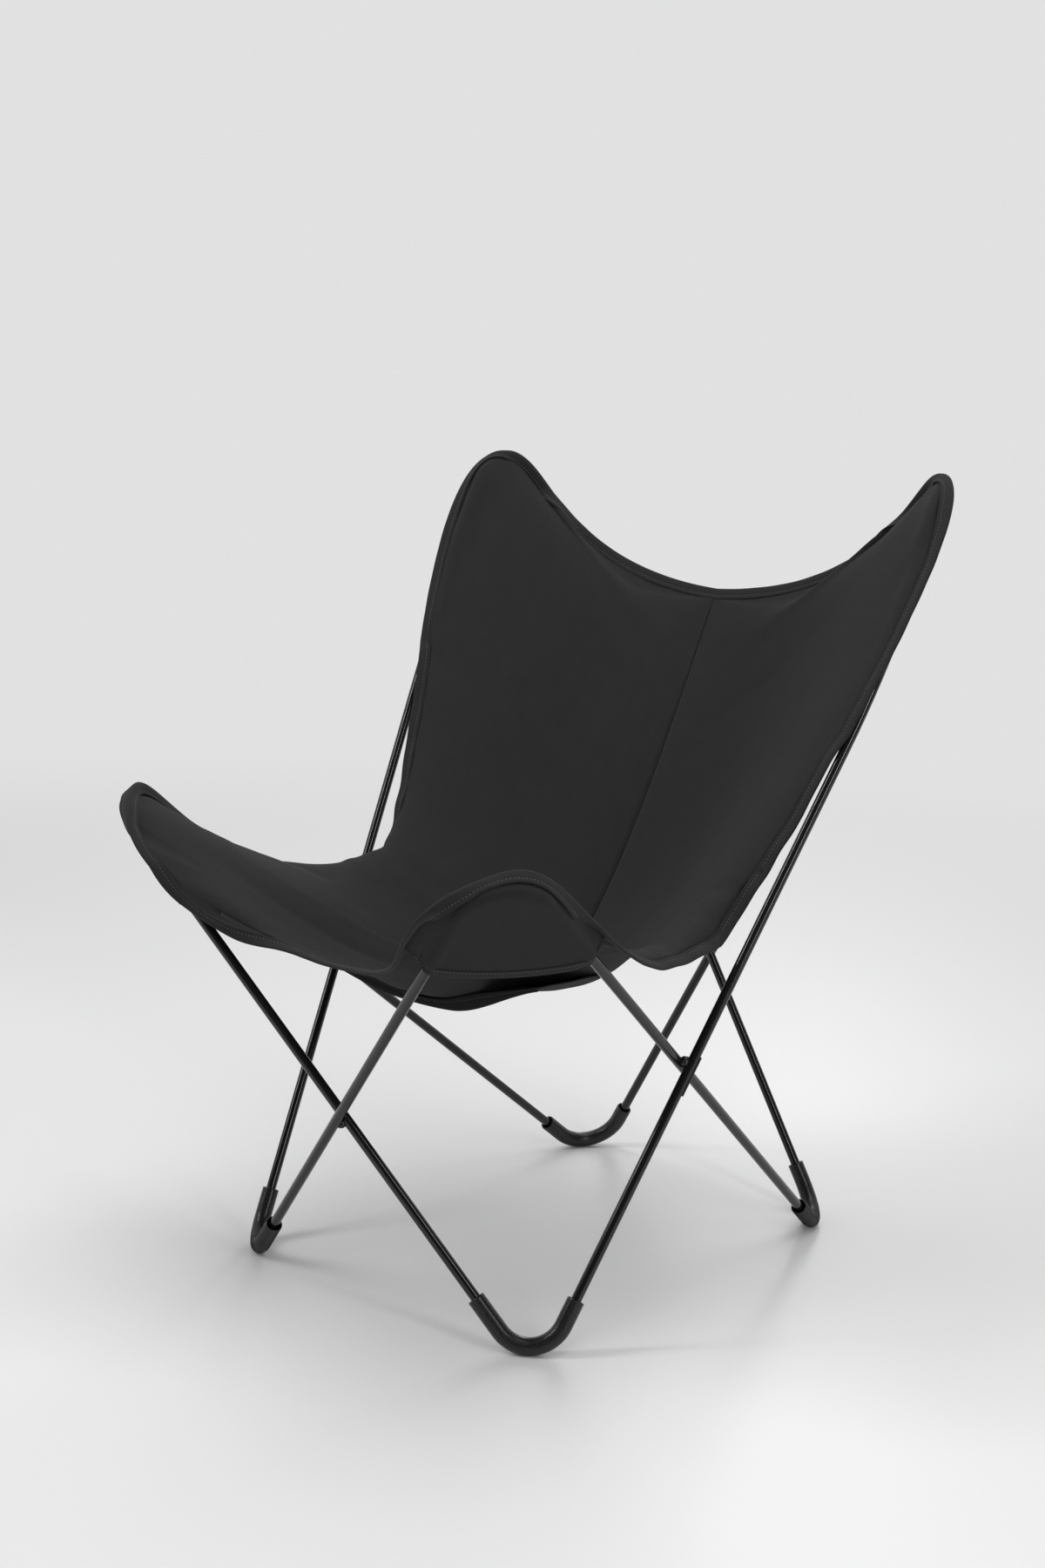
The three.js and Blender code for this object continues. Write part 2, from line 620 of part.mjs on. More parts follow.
// One half of the sling: its edge flange and the net of its panel
function makeHalf(sign) {
  const edge = halfEdge(sign)
  const { points, reach, keys } = edgeStations(edge)
  const last = points.length - 1
  const seamLength = seamLine.getLength()
  const seamShareAt = (i, inset) => {
    const share = betweenKeys(keys, seamKeyShares, i)
    const margin = inset / seamLength
    return margin + share * (1 - 2 * margin)
  }
  const seamAt = inset => points.map((_, i) => seamLine.getPointAt(seamShareAt(i, inset)))
  const rough = stretchNet(points, seamAt(0))
  const hornAt = i => (i < keys[2] ? edge.front : edge.rear)
  const insideAt = i => hornAt(i).inside
  const pocketShare = i => {
    const away = reach[i] - reach[i < keys[2] ? keys[1] : keys[3]]
    const lengths = i < keys[2] ? pocketFrontLengths : pocketRearLengths
    return 1 - smoothStep(Math.abs(away) / (away < 0 ? lengths.before : lengths.after) * 2 - 1)
  }
  // Free of the rods: outwards from the rod in a pocket, towards the sitter elsewhere
  const rods = points.map((point, i) => {
    const near = nearestOnRods(point)
    const away = towards(near.point, point)
    const close = 1 - smoothStep((near.distance - rodNear) / (rodFar - rodNear))
    if (near.distance < rodReach) {
      point.addScaledVector(away, pocketShare(i) * Math.max(0, edgeRodDistance - near.distance))
    }
    clearRods(point, away.clone().lerp(insideAt(i), 1 - pocketShare(i)).normalize(), bindingRodDistance)
    const now = nearestOnRods(point)
    const radial = towards(now.point, point)
    const over = radial.clone().multiplyScalar(close).add(insideAt(i)).normalize()
    return { near: now, radial, close, over, within: close * pocketShare(i) }
  })
  const width = points.map((_, i) => {
    const spare = rods[i].near.distance - bindingRodDistance
    return THREE.MathUtils.lerp(bindingWidth, Math.min(bindingWidth, spare), rods[i].within)
  })
  const inward = points.map((point, i) => {
    if (i === 0) {
      return seamLine.getTangentAt(0)
    }
    if (i === last) {
      return seamLine.getTangentAt(1).negate()
    }
    const tangent = towards(points[i - 1], points[i + 1])
    const natural = towards(point, rough[i][3])
    natural.lerp(rods[i].radial.clone().negate(), rods[i].within)
    natural.addScaledVector(tangent, -natural.dot(tangent)).normalize()
    const inner = clearRods(along(point, natural, width[i]), rods[i].over, bindingRodDistance - clothGap)
    const cleared = towards(point, inner)
    return cleared.addScaledVector(tangent, -cleared.dot(tangent)).normalize()
  })
  const facing = points.map((_, i) => {
    const tangent = i === 0 || i === last ? vec(sign, 0, 0).multiplyScalar(i === 0 ? 1 : -1)
      : towards(points[i - 1], points[i + 1])
    return tangent.cross(inward[i]).multiplyScalar(sign).normalize()
  })
  // In a pocket the panel starts beside the binding, already a little round the rod
  const start = points.map((point, i) => {
    const { near, radial, within } = rods[i]
    const turn = radial.clone().cross(near.direction).normalize()
    turn.multiplyScalar(Math.sign(turn.dot(insideAt(i))))
    const round = along(along(near.point, radial, panelRodDistance * Math.cos(wrapStart)),
      turn, panelRodDistance * Math.sin(wrapStart))
    return along(point, inward[i], width[i] + panelGap).lerp(round, within)
  })
  const seamPoints = seamAt(bindingWidth + panelGap)
  start[0] = seamPoints[0].clone()
  start[last] = seamPoints[last].clone()
  const net = stretchNet(start, seamPoints)
  const drape = (point, i) => clearRods(point, rods[i].over, panelRodDistance)
  for (let i = 1; i < last; i++) {
    const fullness = betweenKeys(keys, fullnessShares, i) * net[i][0].distanceTo(net[i][clothRings])
    for (let j = 1; j < clothRings; j++) {
      const rho = ringShares[j]
      const normal = net[i + 1][j].clone().sub(net[i - 1][j])
        .cross(net[i][j + 1].clone().sub(net[i][j - 1])).multiplyScalar(sign).normalize()
      net[i][j].addScaledVector(normal, -fullness * rho * rho * (1 - rho) * 27 / 4)
    }
  }
  const shape = net.map(ray => ray.map(point => point.clone()))
  for (let round = 0; round < drapeRounds; round++) {
    drapeNet(net, shape, drape)
  }
  net.forEach(ray => {
    ray[clothRings].x = sign * clothGap / 2
  })
  net[0].concat(net[last]).forEach(point => {
    point.x = sign * clothGap / 2
  })
  return { sign, edge, points, reach, keys, inward, facing, net, last, rods, width }
}

// One round of lifting the net off the rods, with each knot's lift shared by its neighbours
function drapeNet(net, shape, lift) {
  const lifts = net.map((ray, i) => ray.map((point, j) => point.clone().sub(shape[i][j])))
  for (let i = 1; i < net.length - 1; i++) {
    for (let j = 1; j < clothRings; j++) {
      const spread = lifts[i - 1][j].clone().add(lifts[i + 1][j]).add(lifts[i][j - 1]).add(lifts[i][j + 1])
      net[i][j].copy(shape[i][j]).addScaledVector(spread, liftSpread / 4)
      lift(net[i][j], i)
    }
  }
}

const halves = [makeHalf(1), makeHalf(-1)]

// Closed solid of even thickness about a sheet of points; turn may replace a point's normal
function sheetGeometry(grid, thickness, flip, turn) {
  const plain = indexedGeometry(grid.flat(), gridIndex(grid, flip))
  const sheet = mergeVertices(plain)
  sheet.setIndex(withoutSlivers(Array.from(sheet.index.array)))
  sheet.computeVertexNormals()
  const count = sheet.attributes.position.count
  const read = (attribute, i) => vec(0, 0, 0).fromBufferAttribute(attribute, i)
  const top = []
  const bottom = []
  for (let i = 0; i < count; i++) {
    const point = read(sheet.attributes.position, i)
    const normal = turn(point, read(sheet.attributes.normal, i))
    top.push(along(point, normal, thickness / 2))
    bottom.push(along(point, normal, -thickness / 2))
  }
  const faces = Array.from(sheet.index.array)
  const index = []
  const edges = new Map()
  for (let f = 0; f < faces.length; f += 3) {
    const [a, b, c] = faces.slice(f, f + 3)
    index.push(a, b, c, a + count, c + count, b + count)
    for (const [p, q] of [[a, b], [b, c], [c, a]]) {
      const twin = `${q} ${p}`
      if (edges.has(twin)) {
        edges.delete(twin)
      } else {
        edges.set(`${p} ${q}`, [p, q])
      }
    }
  }
  for (const [p, q] of edges.values()) {
    index.push(q, p, p + count, q, p + count, q + count)
  }
  return indexedGeometry([...top, ...bottom], index)
}

function gridIndex(grid, flip) {
  const width = grid[0].length
  const index = []
  for (let i = 0; i < grid.length - 1; i++) {
    for (let j = 0; j < width - 1; j++) {
      const [a, b] = [i * width + j, i * width + j + 1]
      const [c, d] = [a + width, b + width]
      index.push(...(flip ? [a, b, d, a, d, c] : [a, d, b, a, c, d]))
    }
  }
  return index
}

function withoutSlivers(index) {
  const kept = []
  for (let f = 0; f < index.length; f += 3) {
    const [a, b, c] = index.slice(f, f + 3)
    if (a !== b && b !== c && c !== a) {
      kept.push(a, b, c)
    }
  }
  return kept
}

// At the seam the thickness stays upright, and beside the binding it follows the binding
function panelTurn(half) {
  return (point, normal) => {
    if (Math.abs(point.x) < clothGap) {
      normal.x = 0
      return normal.normalize()
    }
    const beside = half.net.findIndex(ray => ray[0].distanceTo(point) < clothGap / 2)
    if (beside >= 0) {
      const side = half.facing[beside]
      return side.clone().multiplyScalar(Math.sign(side.dot(normal)))
    }
    return normal
  }
}


// Binding round the whole edge: a flat strip on both halves' stations
function bindingGeometry(grown) {
  const section = (half, i) => {
    const outer = along(half.points[i], half.inward[i], -grown)
    const inner = along(half.points[i], half.inward[i], half.width[i] + grown)
    const thick = bindingThickness / 2 + grown
    return [along(outer, half.facing[i], thick), along(outer, half.facing[i], -thick),
      along(inner, half.facing[i], -thick), along(inner, half.facing[i], thick)]
  }
  const [right, left] = halves
  const rings = right.points.map((_, i) => section(right, i))
  for (let i = left.last - 1; i > 0; i--) {
    rings.push(section(left, i))
  }
  return ringsGeometry(rings, true)
}
const rodCutters = loops.map(loop => toSolid(loopGeometry(loop, (rodRadius + clothGap) / rodFlats)))
const bindingCutter = toSolid(facingOut(bindingGeometry(clothGap)))

// Cloth clear of its neighbours: the cutters are those neighbours, grown by the gap
function cutCloth(geometry, cutters) {
  const whole = toSolid(facingOut(geometry))
  const pieces = cutters.reduce((solid, cutter) => solid.subtract(cutter), whole).decompose()
  pieces.sort((a, b) => b.volume() - a.volume())
  return fromSolid(pieces[0])
}

addPiece('edge_binding', cutCloth(bindingGeometry(0), rodCutters), bindingTape())
const panelSheet = (half, grown) => facingOut(sheetGeometry(half.net, clothThickness + 2 * grown,
  half.sign < 0, panelTurn(half)))
const panels = halves.map(half => addPiece(half.sign > 0 ? 'sling_panel_right' : 'sling_panel_left',
  cutCloth(panelSheet(half, 0), [...rodCutters, bindingCutter]), canvasCloth()))
const panelCutters = halves.map(half => toSolid(panelSheet(half, clothGap)))

// Corner pocket: cloth from the binding's outer face round the rods to a hem across the mouth
function pocketParts(half, horn, keyIndex, lengths) {
  const tipReach = half.reach[half.keys[keyIndex]]
  const outside = horn.inside.clone().negate()
  const level = point => point.clone().sub(horn.apex).dot(outside)
  // Place on the binding at a distance along the edge, between two of its stations
  const placeAt = distance => {
    const i = half.reach.findIndex(reach => reach > tipReach + distance) - 1
    const t = (tipReach + distance - half.reach[i]) / (half.reach[i + 1] - half.reach[i])
    const mix = list => list[i].clone().lerp(list[i + 1], t)
    const point = mix(half.points)
    const width = THREE.MathUtils.lerp(half.width[i], half.width[i + 1], t)
    const near = nearestOnRods(point)
    const radial = towards(near.point, point)
    const turn = radial.clone().cross(near.direction).normalize()
    turn.multiplyScalar(Math.sign(turn.dot(outside)))
    const face = mix(half.facing).normalize()
    face.multiplyScalar(Math.sign(face.dot(outside.clone().addScaledVector(turn, half.rods[i].close))))
    const rim = along(along(point, mix(half.inward).normalize(), width / 2), face,
      bindingThickness / 2 + clothGap + clothThickness)
    const close = 1 - smoothStep((near.distance - rodNear) / (rodFar - rodNear))
    return { near, radial, turn, rim, close }
  }
  const total = lengths.before + lengths.after
  const shares = Array.from({ length: pocketSteps + 1 }, (_, n) => n / pocketSteps)
  const places = shares.map(share => placeAt(share * total - lengths.before))
  const [first, final] = [places[0].rim, places[pocketSteps].rim]
  const dip = first.distanceTo(final) * hemDipShare
  const hemAt = t => {
    const base = along(first.clone().lerp(final, t), horn.out, -dip * 4 * t * (1 - t))
    const depth = Math.max(level(base), pocketRodDistance)
    base.addScaledVector(outside, (depth - level(base)) * smoothStep(6 * Math.min(t, 1 - t)))
    return clearRods(base, outside, pocketRodDistance)
  }
  const grid = places.map(({ near, radial, turn, rim, close }, n) => {
    const end = hemAt(shares[n])
    const under = radial.clone().multiplyScalar(close).add(outside).normalize()
    const whole = Math.max(2 * wrapStart, radial.angleTo(outside))
    const wrapped = wrapShares.map((share, k) => {
      const angle = THREE.MathUtils.lerp(wrapStart, whole, share)
      const straight = rim.clone().lerp(end, wrapStepShare * (k + 1))
      const round = along(along(near.point, radial, pocketRodDistance * Math.cos(angle)),
        turn, pocketRodDistance * Math.sin(angle))
      const placed = straight.lerp(round, close)
      return k > 0 ? clearRods(placed, under, pocketRodDistance) : placed
    })
    const low = wrapped[wrapped.length - 1]
    const rest = [1 / 3, 2 / 3].map(t => clearRods(low.clone().lerp(end, t), outside, pocketRodDistance))
    const ray = [rim, ...wrapped, ...rest, end]
    return n === 0 || n === pocketSteps ? ray.map(() => rim) : ray
  })
  return { grid, outside }
}

// Tape across a pocket's mouth, hanging on from the pocket's last row
function pocketHem({ grid, outside }) {
  const rays = grid.slice(1, -1)
  const ends = rays.map(ray => ray[ray.length - 1])
  const rings = rays.map((ray, n) => {
    const end = ends[n]
    const tangent = towards(ends[Math.max(0, n - 1)], ends[Math.min(ends.length - 1, n + 1)])
    const down = towards(ray[ray.length - 2], end)
    down.addScaledVector(tangent, -down.dot(tangent)).normalize()
    const normal = tangent.clone().cross(down).normalize()
    normal.multiplyScalar(Math.sign(normal.dot(outside)) || 1)
    const near = along(end, down, clothGap + clothThickness / 2)
    const far = clearRods(along(near, down, hemWidth), outside, pocketRodDistance)
    const thick = hemThickness / 2
    return [along(near, normal, thick), along(near, normal, -thick), along(far, normal, -thick),
      along(far, normal, thick)]
  })
  return ringsGeometry(rings, false)
}

const pocketPlaces = [
  ['front_right', halves[0], halves[0].edge.front, 1, pocketFrontLengths],
  ['front_left', halves[1], halves[1].edge.front, 1, pocketFrontLengths],
  ['rear_right', halves[0], halves[0].edge.rear, 3, pocketRearLengths],
  ['rear_left', halves[1], halves[1].edge.rear, 3, pocketRearLengths],
]
const keepNormal = (_, normal) => normal
for (const [name, half, horn, key, lengths] of pocketPlaces) {
  const parts = pocketParts(half, horn, key, lengths)
  const wall = grown => facingOut(sheetGeometry(parts.grid, clothThickness + 2 * grown, half.sign > 0,
    keepNormal))
  const around = [...rodCutters, bindingCutter, ...panelCutters]
  addPiece(`pocket_${name}`, cutCloth(wall(0), around), canvasCloth())
  addPiece(`pocket_hem_${name}`, cutCloth(pocketHem(parts), [...around, toSolid(wall(clothGap))]),
    bindingTape())
}

// Second layer under the seat: it hangs a little below the panels, and its front hem lower still
function seatHeight(x, y) {
  const caster = new THREE.Raycaster(vec(x === 0 ? clothGap : x, y, 0), zAxis)
  return caster.intersectObjects(panels)[0].point.z
}

// Height of the free front edge: the top of its hem
function underFrontHeight(x) {
  const share = x / underHemSpan
  return frontMid.height - underHemDrop + underHemWidth + underHemRise * share * share
}

function underPanelGrid() {
  return Array.from({ length: underRows + 1 }, (_, r) => {
    const share = r / underRows
    const y = THREE.MathUtils.lerp(-underFront.reach, -underBack.reach, share)
    const halfWidth = THREE.MathUtils.lerp(underFront.halfWidth, underBack.halfWidth, share)
    return Array.from({ length: underSteps + 1 }, (_, c) => {
      const across = (2 * c) / underSteps - 1
      const x = across * halfWidth
      const frontX = across * underFront.halfWidth
      const sag = seatHeight(frontX, -underFront.reach) - underEdgeDrop - underFrontHeight(frontX)
      const hang = Math.max(0, sag) * (1 - share) ** underSagPower
      return vec(x, y, seatHeight(x, y) - underEdgeDrop - hang)
    })
  })
}

const underGrid = underPanelGrid()
const underSheet = grown => facingOut(sheetGeometry(underGrid, clothThickness + 2 * grown, false,
  keepNormal))
addPiece('underseat_panel', cutCloth(underSheet(0), panelCutters), canvasCloth())

function underHemGeometry() {
  const rings = underGrid[0].map(edge => {
    const thick = underHemThickness / 2
    const near = vec(edge.x, edge.y - clothGap - thick - clothThickness / 4, edge.z + clothThickness / 2)
    const far = vec(edge.x, near.y - underHemLean, edge.z - underHemWidth)
    return [vec(0, -thick, 0).add(near), vec(0, thick, 0).add(near), vec(0, thick, 0).add(far),
      vec(0, -thick, 0).add(far)]
  })
  return ringsGeometry(rings, false)
}
addPiece('underseat_hem', cutCloth(underHemGeometry(), [...panelCutters, toSolid(underSheet(clothGap))]),
  bindingTape())

// Stand the chair on the floor with the origin under its middle
const extent = new THREE.Box3().setFromObject(chair)
chair.position.set(-(extent.min.x + extent.max.x) / 2, -(extent.min.y + extent.max.y) / 2, -extent.min.z)

export default chair
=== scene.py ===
"""Looks of a butterfly sling chair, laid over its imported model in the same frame."""

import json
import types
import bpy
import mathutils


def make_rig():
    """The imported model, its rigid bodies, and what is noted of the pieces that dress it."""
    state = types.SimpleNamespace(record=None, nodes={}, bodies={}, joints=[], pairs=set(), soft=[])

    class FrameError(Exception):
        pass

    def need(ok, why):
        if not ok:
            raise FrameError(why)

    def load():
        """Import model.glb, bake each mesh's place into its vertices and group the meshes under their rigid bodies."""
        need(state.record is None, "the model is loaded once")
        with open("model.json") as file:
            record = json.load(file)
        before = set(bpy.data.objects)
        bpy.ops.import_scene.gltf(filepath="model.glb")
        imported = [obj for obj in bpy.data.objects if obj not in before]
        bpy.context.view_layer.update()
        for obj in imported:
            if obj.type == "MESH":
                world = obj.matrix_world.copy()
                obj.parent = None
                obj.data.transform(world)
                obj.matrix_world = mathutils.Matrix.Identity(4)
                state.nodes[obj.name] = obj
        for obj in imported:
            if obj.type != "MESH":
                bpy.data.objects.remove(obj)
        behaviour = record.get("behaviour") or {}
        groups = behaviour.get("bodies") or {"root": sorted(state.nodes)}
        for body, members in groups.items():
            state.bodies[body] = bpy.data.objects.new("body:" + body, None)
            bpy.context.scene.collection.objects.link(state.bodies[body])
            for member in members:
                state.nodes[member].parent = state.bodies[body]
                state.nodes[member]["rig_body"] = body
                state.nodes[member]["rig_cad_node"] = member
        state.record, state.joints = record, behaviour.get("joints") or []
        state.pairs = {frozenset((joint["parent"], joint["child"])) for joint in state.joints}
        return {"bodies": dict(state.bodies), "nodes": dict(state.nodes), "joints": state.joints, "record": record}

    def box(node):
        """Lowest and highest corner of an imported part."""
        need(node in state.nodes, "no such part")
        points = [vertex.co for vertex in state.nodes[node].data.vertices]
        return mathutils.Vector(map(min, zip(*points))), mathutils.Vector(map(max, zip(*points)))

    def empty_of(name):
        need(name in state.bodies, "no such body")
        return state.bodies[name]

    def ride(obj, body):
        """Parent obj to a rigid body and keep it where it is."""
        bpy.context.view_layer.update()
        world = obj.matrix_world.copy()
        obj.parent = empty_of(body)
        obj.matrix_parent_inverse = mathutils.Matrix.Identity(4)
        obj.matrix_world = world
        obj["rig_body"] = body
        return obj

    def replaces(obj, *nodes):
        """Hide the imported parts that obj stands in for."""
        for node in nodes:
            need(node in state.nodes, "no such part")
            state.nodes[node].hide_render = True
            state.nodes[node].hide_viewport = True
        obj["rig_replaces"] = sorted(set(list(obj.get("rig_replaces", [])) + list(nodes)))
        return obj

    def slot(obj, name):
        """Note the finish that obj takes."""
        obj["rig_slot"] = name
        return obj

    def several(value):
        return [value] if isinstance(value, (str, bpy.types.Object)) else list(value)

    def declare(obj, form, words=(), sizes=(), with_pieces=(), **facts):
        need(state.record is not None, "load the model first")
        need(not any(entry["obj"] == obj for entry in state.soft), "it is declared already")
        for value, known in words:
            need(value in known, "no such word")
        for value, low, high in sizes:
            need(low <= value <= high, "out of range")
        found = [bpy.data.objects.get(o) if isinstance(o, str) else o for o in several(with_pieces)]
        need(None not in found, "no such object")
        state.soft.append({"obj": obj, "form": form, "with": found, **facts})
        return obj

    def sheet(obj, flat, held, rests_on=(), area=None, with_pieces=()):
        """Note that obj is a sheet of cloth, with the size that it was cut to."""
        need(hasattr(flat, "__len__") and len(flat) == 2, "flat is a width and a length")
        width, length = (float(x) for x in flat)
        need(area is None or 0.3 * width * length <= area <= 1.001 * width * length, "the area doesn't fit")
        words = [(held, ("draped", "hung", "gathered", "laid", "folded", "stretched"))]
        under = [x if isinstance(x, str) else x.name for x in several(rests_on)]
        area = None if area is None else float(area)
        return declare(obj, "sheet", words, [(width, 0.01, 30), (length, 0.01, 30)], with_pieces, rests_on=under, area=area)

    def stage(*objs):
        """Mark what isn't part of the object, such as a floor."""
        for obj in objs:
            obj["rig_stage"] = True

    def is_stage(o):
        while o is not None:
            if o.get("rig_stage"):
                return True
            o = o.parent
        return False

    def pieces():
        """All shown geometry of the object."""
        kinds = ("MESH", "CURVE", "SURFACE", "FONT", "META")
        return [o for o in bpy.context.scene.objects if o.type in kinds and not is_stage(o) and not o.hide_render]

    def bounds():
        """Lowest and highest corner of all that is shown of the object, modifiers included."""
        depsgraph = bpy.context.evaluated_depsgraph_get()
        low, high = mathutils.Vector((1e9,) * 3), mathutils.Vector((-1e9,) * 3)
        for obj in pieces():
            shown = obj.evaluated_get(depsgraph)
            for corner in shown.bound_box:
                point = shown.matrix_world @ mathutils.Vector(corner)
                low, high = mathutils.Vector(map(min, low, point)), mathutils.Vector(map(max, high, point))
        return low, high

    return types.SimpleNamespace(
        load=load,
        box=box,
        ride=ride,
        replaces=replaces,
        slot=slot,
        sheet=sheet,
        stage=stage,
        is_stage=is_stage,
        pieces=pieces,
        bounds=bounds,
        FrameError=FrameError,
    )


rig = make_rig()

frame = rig.load()

import json
import logging
import math
from dataclasses import dataclass, replace
from enum import Enum
from typing import Optional, Sequence

import bmesh
import bpy
import numpy as np
from mathutils import Matrix, Vector
from mathutils.bvhtree import BVHTree

logging.basicConfig(level=logging.INFO, format="%(name)s: %(message)s")
log = logging.getLogger("chair")

MM = 0.001
Points = np.ndarray


class Slot(Enum):
    """Material slots of the record."""

    ROD = "rod"
    SLEEVE = "sleeve"
    CANVAS = "canvas"
    TAPE = "tape"


# Sizes


@dataclass(frozen=True)
class Corner:
    """Sharp corner of a foot or horn, in millimetres."""

    half_span: float
    reach: float
    bend: float
    height: float = 0.0


@dataclass(frozen=True)
class FrameSize:
    """Sizes of the rod frame, in millimetres."""

    rod_radius: float = 6.0
    front_shift: float = 6.45
    rear_shift: float = 6.17
    front_foot: Corner = Corner(233.4, 317.5, 42.5)
    rear_foot: Corner = Corner(206.0, 317.5, 48.5)
    front_horn: Corner = Corner(333.0, 515.0, 47.5, 622.0)
    rear_horn: Corner = Corner(398.0, 254.0, 37.0, 1034.0)
    lean: tuple = (38.0, 14.0, 19.0)
    lean_bend: float = 1800.0
    lean_start: float = 0.775
    rest_height: float = 10.0
    foot_rounds: int = 10
    bend_steps: int = 40
    lean_steps: int = 12
    sides: int = 40


@dataclass(frozen=True)
class SleeveSize:
    """Sizes of a foot sleeve, in millimetres."""

    length: float = 162.0
    shift: float = 7.0
    radius: float = 10.15
    bore: float = 7.2
    mouth: float = 8.9
    mouth_depth: float = 5.0
    lip: float = 0.7
    rib_pitch: float = 2.5
    rib_radius: float = 0.42
    rib_ring: float = 10.08
    rib_inset: float = 1.6
    rib_steps: int = 240
    lip_step: tuple = (0.25, 0.2)
    mouth_step: tuple = (0.8, 0.3)
    bore_start: float = 9.0
    ground: float = 0.02
    sides: int = 40
    steps: int = 90


@dataclass(frozen=True)
class WeldSize:
    """Sizes of a weld bead, in millimetres."""

    inset: float = 1.5
    tip: float = 3.5
    width: float = 13.2
    height: float = 12.4
    ripple: float = 0.5
    ripples: float = 7.0
    rows: int = 28
    columns: int = 40


@dataclass(frozen=True)
class SlingSize:
    """Sizes of the sling's cloth, in millimetres."""

    cloth: float = 1.6
    gap: float = 0.3
    panel_gap: float = 1.2
    binding: float = 12.0
    tape: float = 15.0
    front_mid: tuple = (0.0, -430.0, 425.0)
    back_mid: tuple = (0.0, 264.0, 824.0)
    seat_low: tuple = (0.0, -70.0, 342.0)
    waist: tuple = (285.0, -78.0, 456.0)
    sag: tuple = (8.0, 3.0)
    tip_front: tuple = (10.5, 16.0)
    tip_rear: tuple = (15.0, 7.0)
    handles: tuple = (190.0, 172.0, 97.0, 263.0, 64.0, 152.0, 58.0, 270.0)
    back_handle: tuple = (0.0, 0.0, 14.0)
    tip_front_shares: tuple = (1.0, 0.17, 0.08)
    tip_rear_shares: tuple = (1.0, -0.6, 0.07)
    waist_front_shares: tuple = (0.1, -1.0, -0.11)
    waist_rear_shares: tuple = (-0.51, 0.84, -0.17)
    seam_front: tuple = (120.0, 40.0)
    seam_low: tuple = (110.0, 120.0)
    seam_back: tuple = (80.0, 160.0)
    counts: tuple = (11, 11, 14, 11)
    rings: tuple = (0.0, 0.03, 0.07, 0.13, 0.24, 0.4, 0.65, 1.0)
    edge_shares: tuple = (0.0, 0.0025, 0.005, 0.0075, 0.011, 0.015, 0.022)
    ring_steps: tuple = (4, 5, 8, 11, 16, 18)
    seam_keys: tuple = (0.0, 0.28, 0.45, 0.8, 1.0)
    fullness: tuple = ((0, 3, 9, 13, 15.5, 18.4, 19.8, 22, 35, 47),
                       (0.0, 0.075, 0.095, 0.055, 0.05, 0.062, 0.088, 0.08, 0.05, 0.0))
    left_fullness: float = 0.6
    seam_slit: float = 0.8
    crowding: float = 1.5
    ring_hold: float = 3.0
    drape_rounds: int = 60
    lift_spread: float = 0.9
    panel_clear: float = 10.5
    binding_clear: float = 10.2
    edge_clear: float = 16.4
    tape_clear: float = 8.2
    straddle: float = 10.9
    near: float = 30.0
    far: float = 46.0
    reach: float = 26.0
    wrap_start: float = 0.44
    refine: int = 8
    rolls: tuple = (((0, 0), (47, 0)), ((0, 0), (0.9, 0), (2.6, 75), (4.0, 75), (5.6, 0), (20, 0), (47, 0)))
    dips: tuple = (((19.6, 1.5, 9.0),), ((1.8, 0.8, -5.0),))
    groove: tuple = (1.2, 1.0, 1.3)
    slack: float = 0.9
    calm: tuple = (0.02, 0.12)
    front_run: tuple = (0.0, 0.98, -0.1)
    back_fall: tuple = (0.0, -0.4, -0.92)
    run_ends: tuple = ((1.5, 2.5, 0.7), (4.8, 2.0, 1.0))
    straight_ends: tuple = ((2.0, 3.0, 0.6), (4.0, 3.0, 1.0))
    straight_rings: tuple = (0.15, 0.5)
    tape_spare: float = 0.8
    tucked: tuple = (0.45, 0.8)
    tucked_rings: tuple = (-0.05, -0.04, -0.03, -0.02, -0.01)
    sunk: float = 0.2
    bow: float = 0.6
    fine_rounds: int = 10
    around: float = 40.0
    seam_spread: float = 0.65


@dataclass(frozen=True)
class PocketSize:
    """Sizes of a corner pocket, in millimetres."""

    before: float
    after: float
    clear: float = 9.6
    dip: float = 0.09
    hem: float = 11.0
    lap: float = 2.0
    stand: float = 0.5
    rim: float = 0.5
    rays: tuple = (0.1, 0.3)
    level_ease: float = 6.0
    settle: tuple = (3, 6.0, 0.5)
    stitch_height: float = 1.3
    swell: float = 0.8
    hem_rounds: int = 10
    fall_rounds: int = 12
    settle_rounds: int = 16
    steps: int = 96
    wraps: int = 10
    rows: int = 26


@dataclass(frozen=True)
class UnderSize:
    """Sizes of the second cloth layer under the seat, in millimetres."""

    front: float = 328.0
    front_half: float = 226.0
    back: float = 120.0
    back_half: float = 150.0
    drop: float = 3.4
    hem_bottom: float = 374.0
    hem_rise: float = 51.0
    hem_lift: float = 8.0
    hem_shift: float = 48.0
    rounds: int = 40
    hem_span: float = 230.0
    hem: float = 15.0
    hem_step: tuple = (0.0, -1.2, 1.0)
    lap: float = 1.0
    slim: tuple = (0.8, 100.0, 126.0)
    hang: float = 1.6
    swell: float = 0.75
    stitch_share: float = 0.32
    stitch_height: float = 1.25
    lean: float = 4.0
    columns: int = 72
    rows: int = 32


@dataclass(frozen=True)
class StitchSize:
    """Sizes of a row of stitches, in millimetres."""

    pitch: float = 4.4
    length: float = 2.9
    radius: float = 0.42
    share: float = 0.68
    height: float = 1.7
    jitter: float = 0.12
    seed: int = 7


# Vector helpers


def unit(v: Points) -> Points:
    """Scales vectors to length one.

    Args:
        v: One vector or rows of vectors.

    Returns:
        The unit vectors.
    """
    v = np.asarray(v, float)
    return v / np.maximum(np.linalg.norm(v, axis=-1, keepdims=True), 1e-12)


